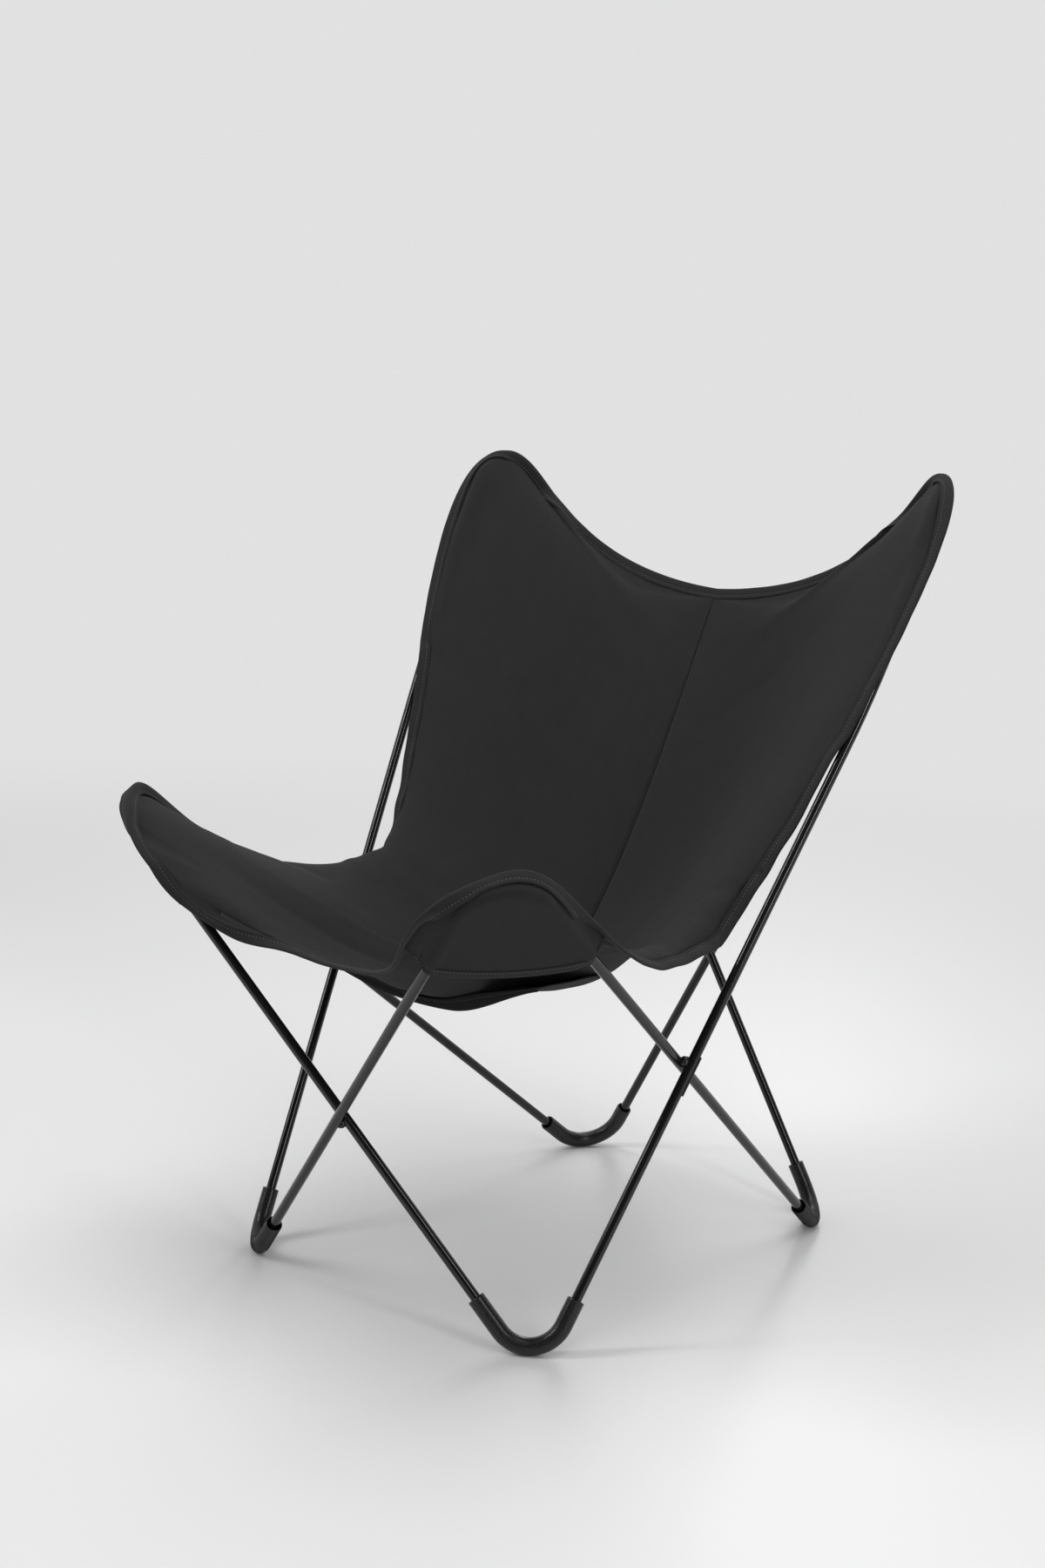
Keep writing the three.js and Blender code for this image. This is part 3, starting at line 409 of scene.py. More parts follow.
def dot(a: Points, b: Points) -> Points:
    """Row by row dot product that keeps its last axis.

    Args:
        a: Rows of vectors.
        b: Rows of vectors.

    Returns:
        The products, with a last axis of one.
    """
    return np.sum(np.asarray(a) * np.asarray(b), axis=-1, keepdims=True)


def smooth(share: Points) -> Points:
    """Smooth step from 0 to 1.

    Args:
        share: Values, of which those outside 0 to 1 are clipped.

    Returns:
        The eased values.
    """
    t = np.clip(share, 0.0, 1.0)
    return t * t * (3.0 - 2.0 * t)


def spline(knots: Points, values: Points, at: Points) -> Points:
    """Natural cubic spline through rows of values.

    Args:
        knots: Increasing parameters of the rows.
        values: The rows.
        at: Parameters to read the spline at.

    Returns:
        One row for each parameter in at.
    """
    knots, values, at = np.asarray(knots, float), np.asarray(values, float), np.asarray(at, float)
    flat = values.reshape(len(knots), -1)
    h = np.diff(knots)
    size = len(knots)
    matrix, right = np.eye(size), np.zeros((size, flat.shape[1]))
    for i in range(1, size - 1):
        matrix[i, i - 1], matrix[i, i], matrix[i, i + 1] = h[i - 1], 2 * (h[i - 1] + h[i]), h[i]
        right[i] = 6 * ((flat[i + 1] - flat[i]) / h[i] - (flat[i] - flat[i - 1]) / h[i - 1])
    second = np.linalg.solve(matrix, right)
    k = np.clip(np.searchsorted(knots, at, side="right") - 1, 0, size - 2)
    hk, a = h[k][:, None], ((knots[k + 1] - at) / h[k])[:, None]
    b = 1.0 - a
    out = a * flat[k] + b * flat[k + 1]
    out += ((a ** 3 - a) * second[k] + (b ** 3 - b) * second[k + 1]) * hk ** 2 / 6
    return out.reshape((len(at),) + values.shape[1:])


def local_cubic(knots: Points, values: Points, at: Points) -> Points:
    """Cubic through rows of values with slopes from the neighbours only.

    Args:
        knots: Increasing parameters of the rows.
        values: The rows.
        at: Parameters to read the curve at.

    Returns:
        One row for each parameter in at.
    """
    knots, values, at = np.asarray(knots, float), np.asarray(values, float), np.asarray(at, float)
    flat = values.reshape(len(knots), -1)
    h = np.diff(knots)[:, None]
    steps = np.diff(flat, axis=0) / h
    slopes = np.empty_like(flat)
    slopes[0], slopes[-1] = steps[0], steps[-1]
    slopes[1:-1] = (steps[:-1] * h[1:] + steps[1:] * h[:-1]) / (h[1:] + h[:-1])
    k = np.clip(np.searchsorted(knots, at, side="right") - 1, 0, len(knots) - 2)
    span = h[k]
    t = ((at - knots[k])[:, None]) / span
    out = (2 * t ** 3 - 3 * t ** 2 + 1) * flat[k] + (3 * t ** 2 - 2 * t ** 3) * flat[k + 1]
    out += span * ((t ** 3 - 2 * t ** 2 + t) * slopes[k] + (t ** 3 - t ** 2) * slopes[k + 1])
    return out.reshape((len(at),) + values.shape[1:])


def travelled(line: Points) -> Points:
    """Args: line: Rows of points. Returns: How far along the line each lies."""
    return np.concatenate([[0.0], np.cumsum(np.linalg.norm(np.diff(line, axis=0), axis=1))])


def row_travel(net: Points) -> Points:
    """Args: net: Rows and columns of points. Returns: How far along its row each lies."""
    steps = np.cumsum(np.linalg.norm(np.diff(net, axis=1), axis=-1), axis=1)
    return np.concatenate([np.zeros((len(net), 1)), steps], axis=1)


def cloth_area(net: Points) -> float:
    """Args: net: Rows and columns of points. Returns: Area of the cloth through them."""
    slanted = np.cross(net[1:, 1:] - net[:-1, :-1], net[1:, :-1] - net[:-1, 1:])
    return float(np.linalg.norm(slanted, axis=-1).sum() / 2)


def evened(line: Points, rounds: int) -> Points:
    """Args: line: Open row of points. rounds: How often. Returns: It, evened out but for its ends."""
    for _ in range(rounds):
        line = np.concatenate([line[:1], (line[:-2] + 2 * line[1:-1] + line[2:]) / 4, line[-1:]])
    return line


def steadied(directions: Points, rounds: int, closed: bool) -> Points:
    """Args: directions: Unit vectors. rounds: How often. closed: If the row joins up. Returns: It, evened."""
    for _ in range(rounds):
        first, last = (directions[-1:], directions[:1]) if closed else (directions[:1], directions[-1:])
        padded = np.concatenate([first, directions, last])
        directions = unit(padded[:-2] + 2 * padded[1:-1] + padded[2:])
    return directions


class Bezier:
    """Cubic curve that can be read by its length."""

    READINGS = 401

    def __init__(self, *handles: Points) -> None:
        """Args: handles: Its four points."""
        self.handles = [np.asarray(h, float) for h in handles]
        self.table = np.linspace(0.0, 1.0, self.READINGS)
        self.travelled = travelled(self.point(self.table))
        self.length = float(self.travelled[-1])

    def point(self, t: Points) -> Points:
        """Args: t: Parameters. Returns: The points there."""
        t = np.asarray(t, float)[..., None]
        a, b, c, d = self.handles
        return a * (1 - t) ** 3 + 3 * b * t * (1 - t) ** 2 + 3 * c * t * t * (1 - t) + d * t ** 3

    def at(self, share: Points) -> Points:
        """Args: share: Shares of the length. Returns: The points there."""
        t = np.interp(np.asarray(share, float) * self.length, self.travelled, self.table)
        return self.point(t)


# Frame geometry


class CornerArc:
    """Arc that rounds a sharp corner between two straight rods."""

    def __init__(self, before: Points, corner: Points, after: Points, radius: float) -> None:
        """Args: before, corner, after: Sharp corners in turn. radius: Bend of the centre line."""
        self.u, self.w, self.radius = unit(before - corner), unit(after - corner), radius
        half = math.acos(float(np.clip(self.u @ self.w, -1, 1))) / 2
        self.inward = unit(self.u + self.w)
        self.centre = corner + self.inward * radius / math.sin(half)
        self.start = corner + self.u * radius / math.tan(half) - self.centre
        self.end = corner + self.w * radius / math.tan(half) - self.centre
        self.sweep = math.pi - 2 * half
        self.normal = unit(np.cross(self.start, self.end))
        self.apex = self.point(0.5)

    @property
    def length(self) -> float:
        """Returns: Length of the arc."""
        return self.radius * self.sweep

    def point(self, share: float) -> Points:
        """Args: share: Share of the arc. Returns: The point there."""
        a, b = math.sin((1 - share) * self.sweep), math.sin(share * self.sweep)
        return (self.start * a + self.end * b) / math.sin(self.sweep) + self.centre

    def tangent(self, share: float) -> Points:
        """Args: share: Share of the arc. Returns: The direction of travel there."""
        return unit(np.cross(self.normal, self.point(share) - self.centre))

    def walk(self, length: float, distance: float, shift: float = 0.0) -> tuple:
        """Place on a stretch that runs over the arc and on straight.

        Args:
            length: Length of the stretch.
            distance: Distance from its start.
            shift: How far the stretch lies before its middle place on the arc.

        Returns:
            The point and the direction of travel.
        """
        straight = (length - self.length) / 2 + shift
        if distance < straight:
            return self.point(0) + self.u * (straight - distance), self.tangent(0)
        if distance > straight + self.length:
            return self.point(1) + self.w * (distance - straight - self.length), self.tangent(1)
        share = (distance - straight) / self.length
        return self.point(share), self.tangent(share)


class RodLoop:
    """Centre line of one closed loop of rod, with its bends."""

    def __init__(self, side: int, size: FrameSize) -> None:
        """Args: side: +1 for the loop whose front foot is at +X. size: Frame sizes."""
        self.side, self.size = side, size
        corners = self._corners()
        count = len(corners)
        self.corners = [c[0] for c in corners]
        self.arcs = [
            CornerArc(corners[i - 1][0], corners[i][0], corners[(i + 1) % count][0], corners[i][1])
            for i in range(count)
        ]
        steps = [(arc, k / c[2]) for arc, c in zip(self.arcs, corners) for k in range(c[2] + 1)]
        self.points = np.array([arc.point(share) for arc, share in steps])
        self.tangents = np.array([arc.tangent(share) for arc, share in steps])
        self.front_foot, _, self.rear_horn, _, self.rear_foot, self.front_horn = self.arcs

    def _foot(self, x: float, y: float, bend: float, rear: Points, front: Points) -> Points:
        """Sharp corner of a foot whose bend rests at the right height."""
        corner = np.array([x, y, 0.0])
        for _ in range(self.size.foot_rounds):
            arc = CornerArc(rear, corner, front, bend)
            lowest = arc.centre[2] - arc.radius * math.hypot(arc.normal[0], arc.normal[1])
            corner = corner + [0.0, 0.0, self.size.rest_height - lowest]
        return corner

    def _corners(self) -> list:
        """Corner, bend radius and steps of each bend, in loop order."""
        s, z = self.side, self.size
        front_shift, rear_shift = s * z.front_shift, s * z.rear_shift
        rear = np.array([s * z.rear_horn.half_span, z.rear_horn.reach + rear_shift, z.rear_horn.height])
        front = np.array([-s * z.front_horn.half_span, -z.front_horn.reach + front_shift, z.front_horn.height])
        a, b = z.front_foot, z.rear_foot
        foot_a = self._foot(s * a.half_span, -a.reach + front_shift, a.bend, rear, front)
        foot_b = self._foot(-s * b.half_span, b.reach + rear_shift, b.bend, rear, front)
        leaned = rear + np.array([-s * z.lean[0], -z.lean[1], z.lean[2]])
        return [
            (foot_a, z.front_foot.bend, z.bend_steps),
            (foot_a + (rear - foot_a) * z.lean_start, z.lean_bend, z.lean_steps),
            (leaned, z.rear_horn.bend, z.bend_steps),
            (foot_b + (rear - foot_b) * z.lean_start, z.lean_bend, z.lean_steps),
            (foot_b, z.rear_foot.bend, z.bend_steps),
            (front, z.front_horn.bend, z.bend_steps),
        ]


class RodField:
    """Both centre lines as one thing that cloth keeps clear of."""

    BATCH = 3000

    def __init__(self, loops: Sequence[RodLoop], reach: float) -> None:
        """Args: loops: The loops. reach: Distance beyond which a rod is ignored."""
        self.a = np.concatenate([loop.points for loop in loops])
        self.b = np.concatenate([np.roll(loop.points, -1, axis=0) for loop in loops])
        self.d = self.b - self.a
        self.dd = np.maximum(np.sum(self.d ** 2, axis=1), 1e-9)
        self.reach = reach

    def nearest(self, points: Points) -> tuple:
        """Nearest place on the rods.

        Args:
            points: Rows of points.

        Returns:
            The nearest points, their distances and the rods' directions there.
        """
        points = np.atleast_2d(points)
        near, dist, direction = np.empty_like(points), np.empty(len(points)), np.empty_like(points)
        for low in range(0, len(points), self.BATCH):
            part = slice(low, low + self.BATCH)
            p = points[part]
            t = np.clip(((p[:, None] - self.a) * self.d).sum(-1) / self.dd, 0, 1)
            q = self.a + t[..., None] * self.d
            r = np.linalg.norm(p[:, None] - q, axis=-1)
            k = np.argmin(r, axis=1)
            rows = np.arange(len(p))
            near[part], dist[part], direction[part] = q[rows, k], r[rows, k], unit(self.d[k])
        return near, dist, direction

    def clear(self, points: Points, direction: Points, distance: float) -> Points:
        """Lifts points that are near a rod until they clear it.

        Args:
            points: Rows of points.
            direction: Unit directions to lift them in.
            distance: Least distance from a centre line.

        Returns:
            The lifted points.
        """
        near, dist, _ = self.nearest(points)
        height = dot(points - near, direction)[:, 0]
        sideways = np.maximum(0.0, dist ** 2 - height ** 2)
        needed = np.sqrt(np.maximum(0.0, distance ** 2 - sideways)) - height
        act = (dist < self.reach) & (sideways < distance ** 2)
        return points + direction * np.where(act, np.maximum(0.0, needed), 0.0)[:, None]


# Sling geometry


@dataclass
class Horn:
    """Where a horn carries the sling: its directions and the sling's tip."""

    arc: CornerArc
    out: Points
    side: Points
    inside: Points
    point: Points

    @classmethod
    def of(cls, arc: CornerArc, tip: Sequence[float]) -> "Horn":
        """Args: arc: The horn's bend. tip: Distances out and inside. Returns: The horn."""
        out, side = -arc.inward, unit(arc.point(0) - arc.point(1))
        inside = unit(np.cross(out, side))
        if inside[0] * arc.apex[0] > 0:
            inside = -inside
        return cls(arc, out, side, inside, arc.apex + out * tip[0] + inside * tip[1])

    def mix(self, shares: Sequence[float]) -> Points:
        """Args: shares: Of the side, inside and out directions. Returns: The direction."""
        return unit(self.side * shares[0] + self.inside * shares[1] + self.out * shares[2])


@dataclass
class EdgeLayout:
    """The sling's edge at a row of stations."""

    points: Points
    reach: Points
    index: Points
    inward: Points
    facing: Points
    width: Points
    start: Points
    within: Points
    over: Points
    split: Points

    def leg(self, side: int) -> Points:
        """Args: side: +1 for the sitter's side of the tape. Returns: Directions across that leg."""
        return unit(self.inward * np.cos(self.split)[:, None] + self.facing * side * np.sin(self.split)[:, None])

    def off(self, side: int) -> Points:
        """Args: side: +1 for the sitter's side of the tape. Returns: Directions off that leg's face."""
        return unit(self.facing * side * np.cos(self.split)[:, None] - self.inward * np.sin(self.split)[:, None])

    def read(self, name: str, reach: Points) -> Points:
        """Args: name: Field to read. reach: Distances along the edge. Returns: Its values there."""
        values = getattr(self, name)
        if values.ndim == 1:
            return np.interp(reach, self.reach, values)
        return np.stack([np.interp(reach, self.reach, values[:, k]) for k in range(values.shape[1])], axis=-1)


class SeamLine:
    """Centre line of the sling, from the middle of its front to the middle of its back."""

    def __init__(self, size: SlingSize) -> None:
        """Args: size: Sling sizes."""
        a, b, c = (np.array(p) for p in (size.front_mid, size.seat_low, size.back_mid))
        self.curves = [
            Bezier(a, a + [0, size.seam_front[0], -size.seam_front[1]], b - [0, size.seam_low[0], 0], b),
            Bezier(b, b + [0, size.seam_low[1], 0], c - [0, size.seam_back[0], size.seam_back[1]], c),
        ]
        self.length = sum(c.length for c in self.curves)

    def at(self, shares: Points) -> Points:
        """Args: shares: Shares of the length. Returns: The points there."""
        d = np.asarray(shares, float) * self.length
        first = self.curves[0].length
        return np.where((d < first)[..., None], self.curves[0].at(np.clip(d / first, 0, 1)),
                        self.curves[1].at(np.clip((d - first) / self.curves[1].length, 0, 1)))


@dataclass(frozen=True)
class Fold:
    """A soft fold in the cloth, between two places given by station and ring share."""

    start: tuple
    end: tuple
    width: float
    depth: float


class HalfSling:
    """One half of the sling: its edge and the net of its panel."""

    UNEVEN = ((19.0, 13), (41.0, -4), (23.0, 9))
    UNEVEN_WAVES, UNEVEN_TURN, UNEVEN_SUM = 5, 1.7, 2.2
    AROUND_RINGS = (0.01, 1.0, 60)
    TUCK_STEPS = (0.0, 0.25, 0.5, 0.75)
    BULGE_SCALE = 27 / 4

    def __init__(self, sign: int, loops: Sequence[RodLoop], rods: RodField, seam: SeamLine,
                 size: SlingSize) -> None:
        """Args: sign: +1 for the half at +X. loops: Both loops. rods: Their field. seam: Centre. size: Sizes."""
        self.sign, self.rods, self.seam, self.size = sign, rods, seam, size
        self.front = Horn.of(loops[1 if sign > 0 else 0].front_horn, size.tip_front)
        self.rear = Horn.of(loops[0 if sign > 0 else 1].rear_horn, size.tip_rear)
        self.keys = np.concatenate([[0], np.cumsum(size.counts)])
        self.curves = self._curves()
        self.coarse = self.lay_out(1, size.binding, size.binding_clear)
        self.shape = self._net()
        self.fine = self.lay_out(size.refine, size.tape, size.tape_clear)
        self.net, self.shares = self._fine_net()

    def _curves(self) -> list:
        """Curves of the half's edge, from the front over both tips to the back."""
        z, s = self.size, self.sign
        start, end = np.array(z.front_mid), np.array(z.back_mid)
        middle = np.array([s * z.waist[0], z.waist[1], z.waist[2] - z.sag[0 if s > 0 else 1]])
        outward, flip = np.array([s, 0.0, 0.0]), np.array([s, 1.0, 1.0])
        front, rear = self.front.mix(z.tip_front_shares), self.rear.mix(z.tip_rear_shares)
        to_front = unit(np.array(z.waist_front_shares) * flip)
        to_rear = unit(np.array(z.waist_rear_shares) * flip)
        h = z.handles
        return [
            Bezier(start, start + outward * h[0], self.front.point - front * h[1], self.front.point),
            Bezier(self.front.point, self.front.point + front * h[2], middle + to_front * h[3], middle),
            Bezier(middle, middle + to_rear * h[4], self.rear.point + rear * h[5], self.rear.point),
            Bezier(self.rear.point, self.rear.point - rear * h[6],
                   end + outward * h[7] + np.array(z.back_handle), end),
        ]

    def _stations(self, refine: int) -> tuple:
        """Points, distances and coarse station numbers along the edge."""
        points, reach, index, travelled = [], [], [], 0.0
        for c, (curve, count) in enumerate(zip(self.curves, self.size.counts)):
            t = np.arange(0 if c == 0 else 1, count * refine + 1) / (count * refine)
            share = 1 - (1 - t) ** self.size.crowding if c % 2 == 0 else t ** self.size.crowding
            points.append(curve.at(share))
            reach.append(travelled + share * curve.length)
            index.append(self.keys[c] + t * count)
            travelled += curve.length
        return np.concatenate(points), np.concatenate(reach), np.concatenate(index)

    def seam_at(self, index: Points, inset: float) -> Points:
        """Args: index: Station numbers. inset: Distance kept from the ends. Returns: Seam points."""
        margin = inset / self.seam.length
        return self.seam.at(margin + self.seam_share(index) * (1 - 2 * margin))

    def seam_share(self, index: Points) -> Points:
        """Share of the seam's length that each station's row ends at, spread wide near both ends."""
        keys, marks = self.keys, self.size.seam_keys
        near = np.clip(1 - index / keys[1], 0, 1)
        far = np.clip((index - keys[3]) / (keys[4] - keys[3]), 0, 1)
        plain = local_cubic(keys, np.array(marks)[:, None], index)[:, 0]
        spread = self.size.seam_spread
        return plain + spread * marks[1] * near * (1 - near) - spread * (1 - marks[3]) * far * (1 - far)

    def _stretch(self, edge: Points, seam: Points) -> Points:
        """Net between edge and seam in which every knot is balanced."""
        shares = np.array(self.size.rings)
        rings, rows = len(shares) - 1, len(edge)
        net = edge[:, None] + (seam - edge)[:, None] * shares[None, :, None]
        hold = 1.0 / np.diff(shares)
        number = -np.ones((rows, rings + 1), int)
        number[1:-1, 1:-1] = np.arange((rows - 2) * (rings - 1)).reshape(rows - 2, rings - 1)
        matrix = np.zeros(((rows - 2) * (rings - 1),) * 2)
        right = np.zeros((len(matrix), 3))
        for i in range(1, rows - 1):
            for j in range(1, rings):
                pull = (hold[j - 1] + hold[j]) / 2 * (shares[j + 1] - shares[j - 1]) * self.size.ring_hold
                row = number[i, j]
                matrix[row, row] = 2 * pull + hold[j - 1] + hold[j]
                for a, b, w in ((i - 1, j, pull), (i + 1, j, pull), (i, j - 1, hold[j - 1]), (i, j + 1, hold[j])):
                    if number[a, b] < 0:
                        right[row] += w * net[a, b]
                    else:
                        matrix[row, number[a, b]] -= w
        straight = net[1:-1, 1:-1]
        inner = np.linalg.solve(matrix, right).reshape(rows - 2, rings - 1, 3)
        near, far = self._ends(np.arange(1, rows - 1), self.size.straight_ends)
        start, span = self.size.straight_rings
        plain = (near + far)[:, None] * (1 - smooth((shares[1:-1] - start) / span))[None]
        net[1:-1, 1:-1] = inner + (straight - inner) * plain[..., None]
        return net

    def _ends(self, station: Points, spans: tuple) -> tuple:
        """How near stations are to the middle of the front and of the back, by start, width and greatest share."""
        (near, near_width, near_share), (far, far_width, far_share) = spans
        return (near_share * (1 - smooth((station - near) / near_width)),
                far_share * smooth((station - self.keys[3] - far) / far_width))

    def lay_out(self, refine: int, wide: float, clear: float) -> EdgeLayout:
        """Stations of the edge, pushed clear of the rods.

        Args:
            refine: Stations for each coarse one.
            wide: Full width of the edge band.
            clear: Least distance of the band from a rod's centre line.

        Returns:
            The layout.
        """
        z, s = self.size, self.sign
        points, reach, index = self._stations(refine)
        for centre, spread, drop in z.dips[0 if s > 0 else 1]:
            points[:, 2] -= drop * np.exp(-((index - centre) / spread) ** 2)
        if refine == 1:
            self.rough = self._around(points, self._stretch(points, self.seam_at(index, 0.0)))
            self.rough_reach = reach
        target = spline(self.rough_reach, self.rough, reach)
        inside = np.where((index < self.keys[2])[:, None], self.front.inside, self.rear.inside)
        pocket = self._pocket_share(reach, index)[:, None]
        near, dist, _ = self.rods.nearest(points)
        away = unit(points - near)
        close = 1 - smooth((dist - z.near) / (z.far - z.near))
        push = np.where(dist < z.reach, pocket[:, 0] * np.maximum(0.0, z.edge_clear - dist), 0.0)
        points = points + away * push[:, None]
        points = self.rods.clear(points, unit(away * pocket + inside * (1 - pocket)), z.binding_clear)
        near, dist, direction = self.rods.nearest(points)
        radial = unit(points - near)
        over = unit(radial * close[:, None] + inside)
        within = close * pocket[:, 0]
        folded = refine > 1
        narrow = np.sqrt(np.maximum(0.0, dist ** 2 - z.straddle ** 2)) + z.tape_spare if folded else dist - clear
        width = wide + (np.minimum(wide, narrow) - wide) * within
        tangent = np.gradient(points, axis=0)
        tangent[0], tangent[-1] = [s, 0, 0], [-s, 0, 0]
        tangent = unit(tangent)
        natural = unit(target - points)
        low, top = (share[:, None] for share in self._ends(index, z.run_ends))
        natural += (np.array(z.back_fall) - natural) * top + (np.array(z.front_run) - natural) * low
        natural = natural + (-radial - natural) * within[:, None]
        natural = unit(natural - tangent * dot(natural, tangent))
        straight = points + natural * width[:, None]
        inner = self.rods.clear(straight, over, clear - z.gap)
        if folded:
            inner = inner + (straight - inner) * within[:, None]
        inward = unit(inner - points)
        inward = unit(inward - tangent * dot(inward, tangent))
        ends = self.seam.at(np.array([0.0, 0.001, 0.999, 1.0]))
        inward[0], inward[-1] = unit(ends[1] - ends[0]), unit(ends[2] - ends[3])
        facing = unit(np.cross(tangent, inward)) * s
        turn = unit(np.cross(radial, direction))
        turn = turn * np.sign(dot(turn, inside))
        cos, sin = math.cos(z.wrap_start), math.sin(z.wrap_start)
        round_ = near + radial * z.panel_clear * cos + turn * z.panel_clear * sin
        flat = points + inward * (np.minimum(width, z.binding) + z.panel_gap)[:, None]
        start = flat + (round_ - flat) * within[:, None]
        split = np.zeros(len(points))
        if folded:
            split = np.arcsin(np.minimum(1.0, z.straddle / np.maximum(dist, z.straddle))) * within
            points, inward, facing = self._roll(points, inward, facing, width, index)
        return EdgeLayout(points, reach, index, inward, facing, width, start, within, over, split)

    def _around(self, points: Points, net: Points) -> Points:
        """Middle of the cloth round each station of the edge."""
        shares = np.linspace(*self.AROUND_RINGS)
        cloth = np.stack([local_cubic(self.size.rings, row, shares) for row in net])
        area = np.linalg.norm(np.cross(np.gradient(cloth, axis=0), np.gradient(cloth, axis=1)), axis=-1).ravel()
        cloth = np.concatenate([cloth, cloth * [-1, 1, 1]]).reshape(-1, 3)
        far = np.linalg.norm(points[:, None] - cloth[None], axis=-1)
        weight = np.tile(area, 2) * np.exp(-(far / self.size.around) ** 2)
        return weight @ cloth / weight.sum(axis=1)[:, None]

    def _roll(self, points: Points, inward: Points, facing: Points, width: Points, index: Points) -> tuple:
        """Turns the edge band under where the cloth rolls over at its edge."""
        keys = self.size.rolls[0 if self.sign > 0 else 1]
        angle = np.radians(local_cubic([k for k, _ in keys], [[a] for _, a in keys], index)[:, 0])
        angle = np.clip(angle, 0, None)
        cos, sin = np.cos(angle)[:, None], np.sin(angle)[:, None]
        edge = points + inward * width[:, None] * np.maximum(cos, 0)
        turned = inward * cos + facing * sin
        return edge - turned * width[:, None], turned, facing * cos - inward * sin

    def tip_reach(self, key: int) -> float:
        """Args: key: Number of the curves before a tip. Returns: Distance of that tip along the edge."""
        return float(sum(c.length for c in self.curves[:key]))

    def _pocket_share(self, reach: Points, index: Points) -> Points:
        """How far each station lies inside a corner pocket, from 0 to 1."""
        front = index < self.keys[2]
        away = reach - np.where(front, self.tip_reach(1), self.tip_reach(3))
        before = np.where(front, FRONT_POCKET.before, REAR_POCKET.before)
        after = np.where(front, FRONT_POCKET.after, REAR_POCKET.after)
        return 1 - smooth(np.abs(away) / np.where(away < 0, before, after) * 2 - 1)

    def _drape(self, net: Points, over: Points, rounds: int, distance: float) -> Points:
        """Lifts the net off the rods, each knot's lift shared by its neighbours."""
        shape = net.copy()
        directions = np.repeat(over[:, None], net.shape[1], axis=1)[1:-1, 1:-1].reshape(-1, 3)
        close = np.flatnonzero(self.rods.nearest(net[1:-1, 1:-1].reshape(-1, 3))[1] < 2 * self.size.reach)
        for _ in range(rounds):
            lift = net - shape
            spread = lift[:-2, 1:-1] + lift[2:, 1:-1] + lift[1:-1, :-2] + lift[1:-1, 2:]
            inner = shape[1:-1, 1:-1] + spread * self.size.lift_spread / 4
            lifted = inner.reshape(-1, 3)
            lifted[close] = self.rods.clear(lifted[close], directions[close], distance)
            net = net.copy()
            net[1:-1, 1:-1] = lifted.reshape(inner.shape)
        return net

    def _net(self) -> Points:
        """Coarse net of the panel, full and draped over the rods."""
        z = self.size
        start = self.coarse.start.copy()
        seam = self.seam_at(self.coarse.index, z.binding + z.panel_gap)
        start[0], start[-1] = seam[0], seam[-1]
        net = self._stretch(start, seam)
        shares = np.array(z.rings)
        across = net[2:, 1:-1] - net[:-2, 1:-1]
        along = net[1:-1, 2:] - net[1:-1, :-2]
        normal = unit(np.cross(across, along)) * self.sign
        full = np.interp(self.coarse.index[1:-1], *z.fullness) * (1.0 if self.sign > 0 else z.left_fullness)
        full = full * np.linalg.norm(net[1:-1, 0] - net[1:-1, -1], axis=1)
        bulge = full[:, None] * (shares ** 2 * (1 - shares))[None, 1:-1] * self.BULGE_SCALE
        net[1:-1, 1:-1] -= normal * bulge[..., None]
        net = self._drape(net, self.coarse.over, z.drape_rounds, z.panel_clear)
        net[:, -1, 0] = self.sign * z.gap / 2
        net[0, :, 0] = net[-1, :, 0] = self.sign * z.gap / 2
        return net

    def _fine_net(self) -> tuple:
        """Fine net through the coarse one, with rows that reach under the tape, and its ring shares."""
        z, edge = self.size, self.fine
        shares = np.concatenate([z.edge_shares] + [
            np.linspace(low, high, steps, endpoint=False)
            for low, high, steps in zip(z.rings[1:], z.rings[2:], z.ring_steps)] + [[1.0]])
        rows = spline(self.coarse.reach, self.shape, edge.reach)
        net = np.stack([local_cubic(z.rings, row, shares) for row in rows])
        start = edge.start.copy()
        start[0], start[-1] = rows[0, 0], rows[-1, 0]
        fade = 1 - smooth(shares / z.rings[4])
        net += (start - net[:, 0])[:, None] * fade[None, :, None]
        net = self._drape(net, edge.over, z.fine_rounds, z.panel_clear - 1.0)
        net[:, -1, 0] = self.sign * z.seam_slit
        leg, off, wide = edge.leg(1), edge.off(1), edge.width[:, None]
        rim = edge.points + leg * wide
        low, first = (edge.points + leg * wide * share - off * z.sunk for share in z.tucked)
        turn = rim + (first - rim) * z.bow * np.maximum(0.0, dot(leg, unit(net[:, 0] - first)))
        steps = [first * (1 - t) ** 2 + turn * 2 * t * (1 - t) + net[:, 0] * t * t for t in self.TUCK_STEPS]
        net = np.concatenate([np.stack([low] + steps, axis=1), net], axis=1)
        return net, np.concatenate([z.tucked_rings, shares])

    def place(self, station: float, share: float) -> Points:
        """Args: station: Coarse station. share: Ring share. Returns: The point on the cloth."""
        row = self.net[int(station * self.size.refine)]
        return np.array([np.interp(share, self.shares, row[:, k]) for k in range(3)])

    def normals(self) -> Points:
        """Returns: Unit normals of the fine net, towards the sitter."""
        across = np.gradient(self.net, axis=0)
        along = np.gradient(self.net, axis=1)
        normal = unit(np.cross(across, along)) * self.sign
        normal[0], normal[-1] = normal[1], normal[-2]
        normal[:, -1, 0] = 0.0
        return unit(normal)

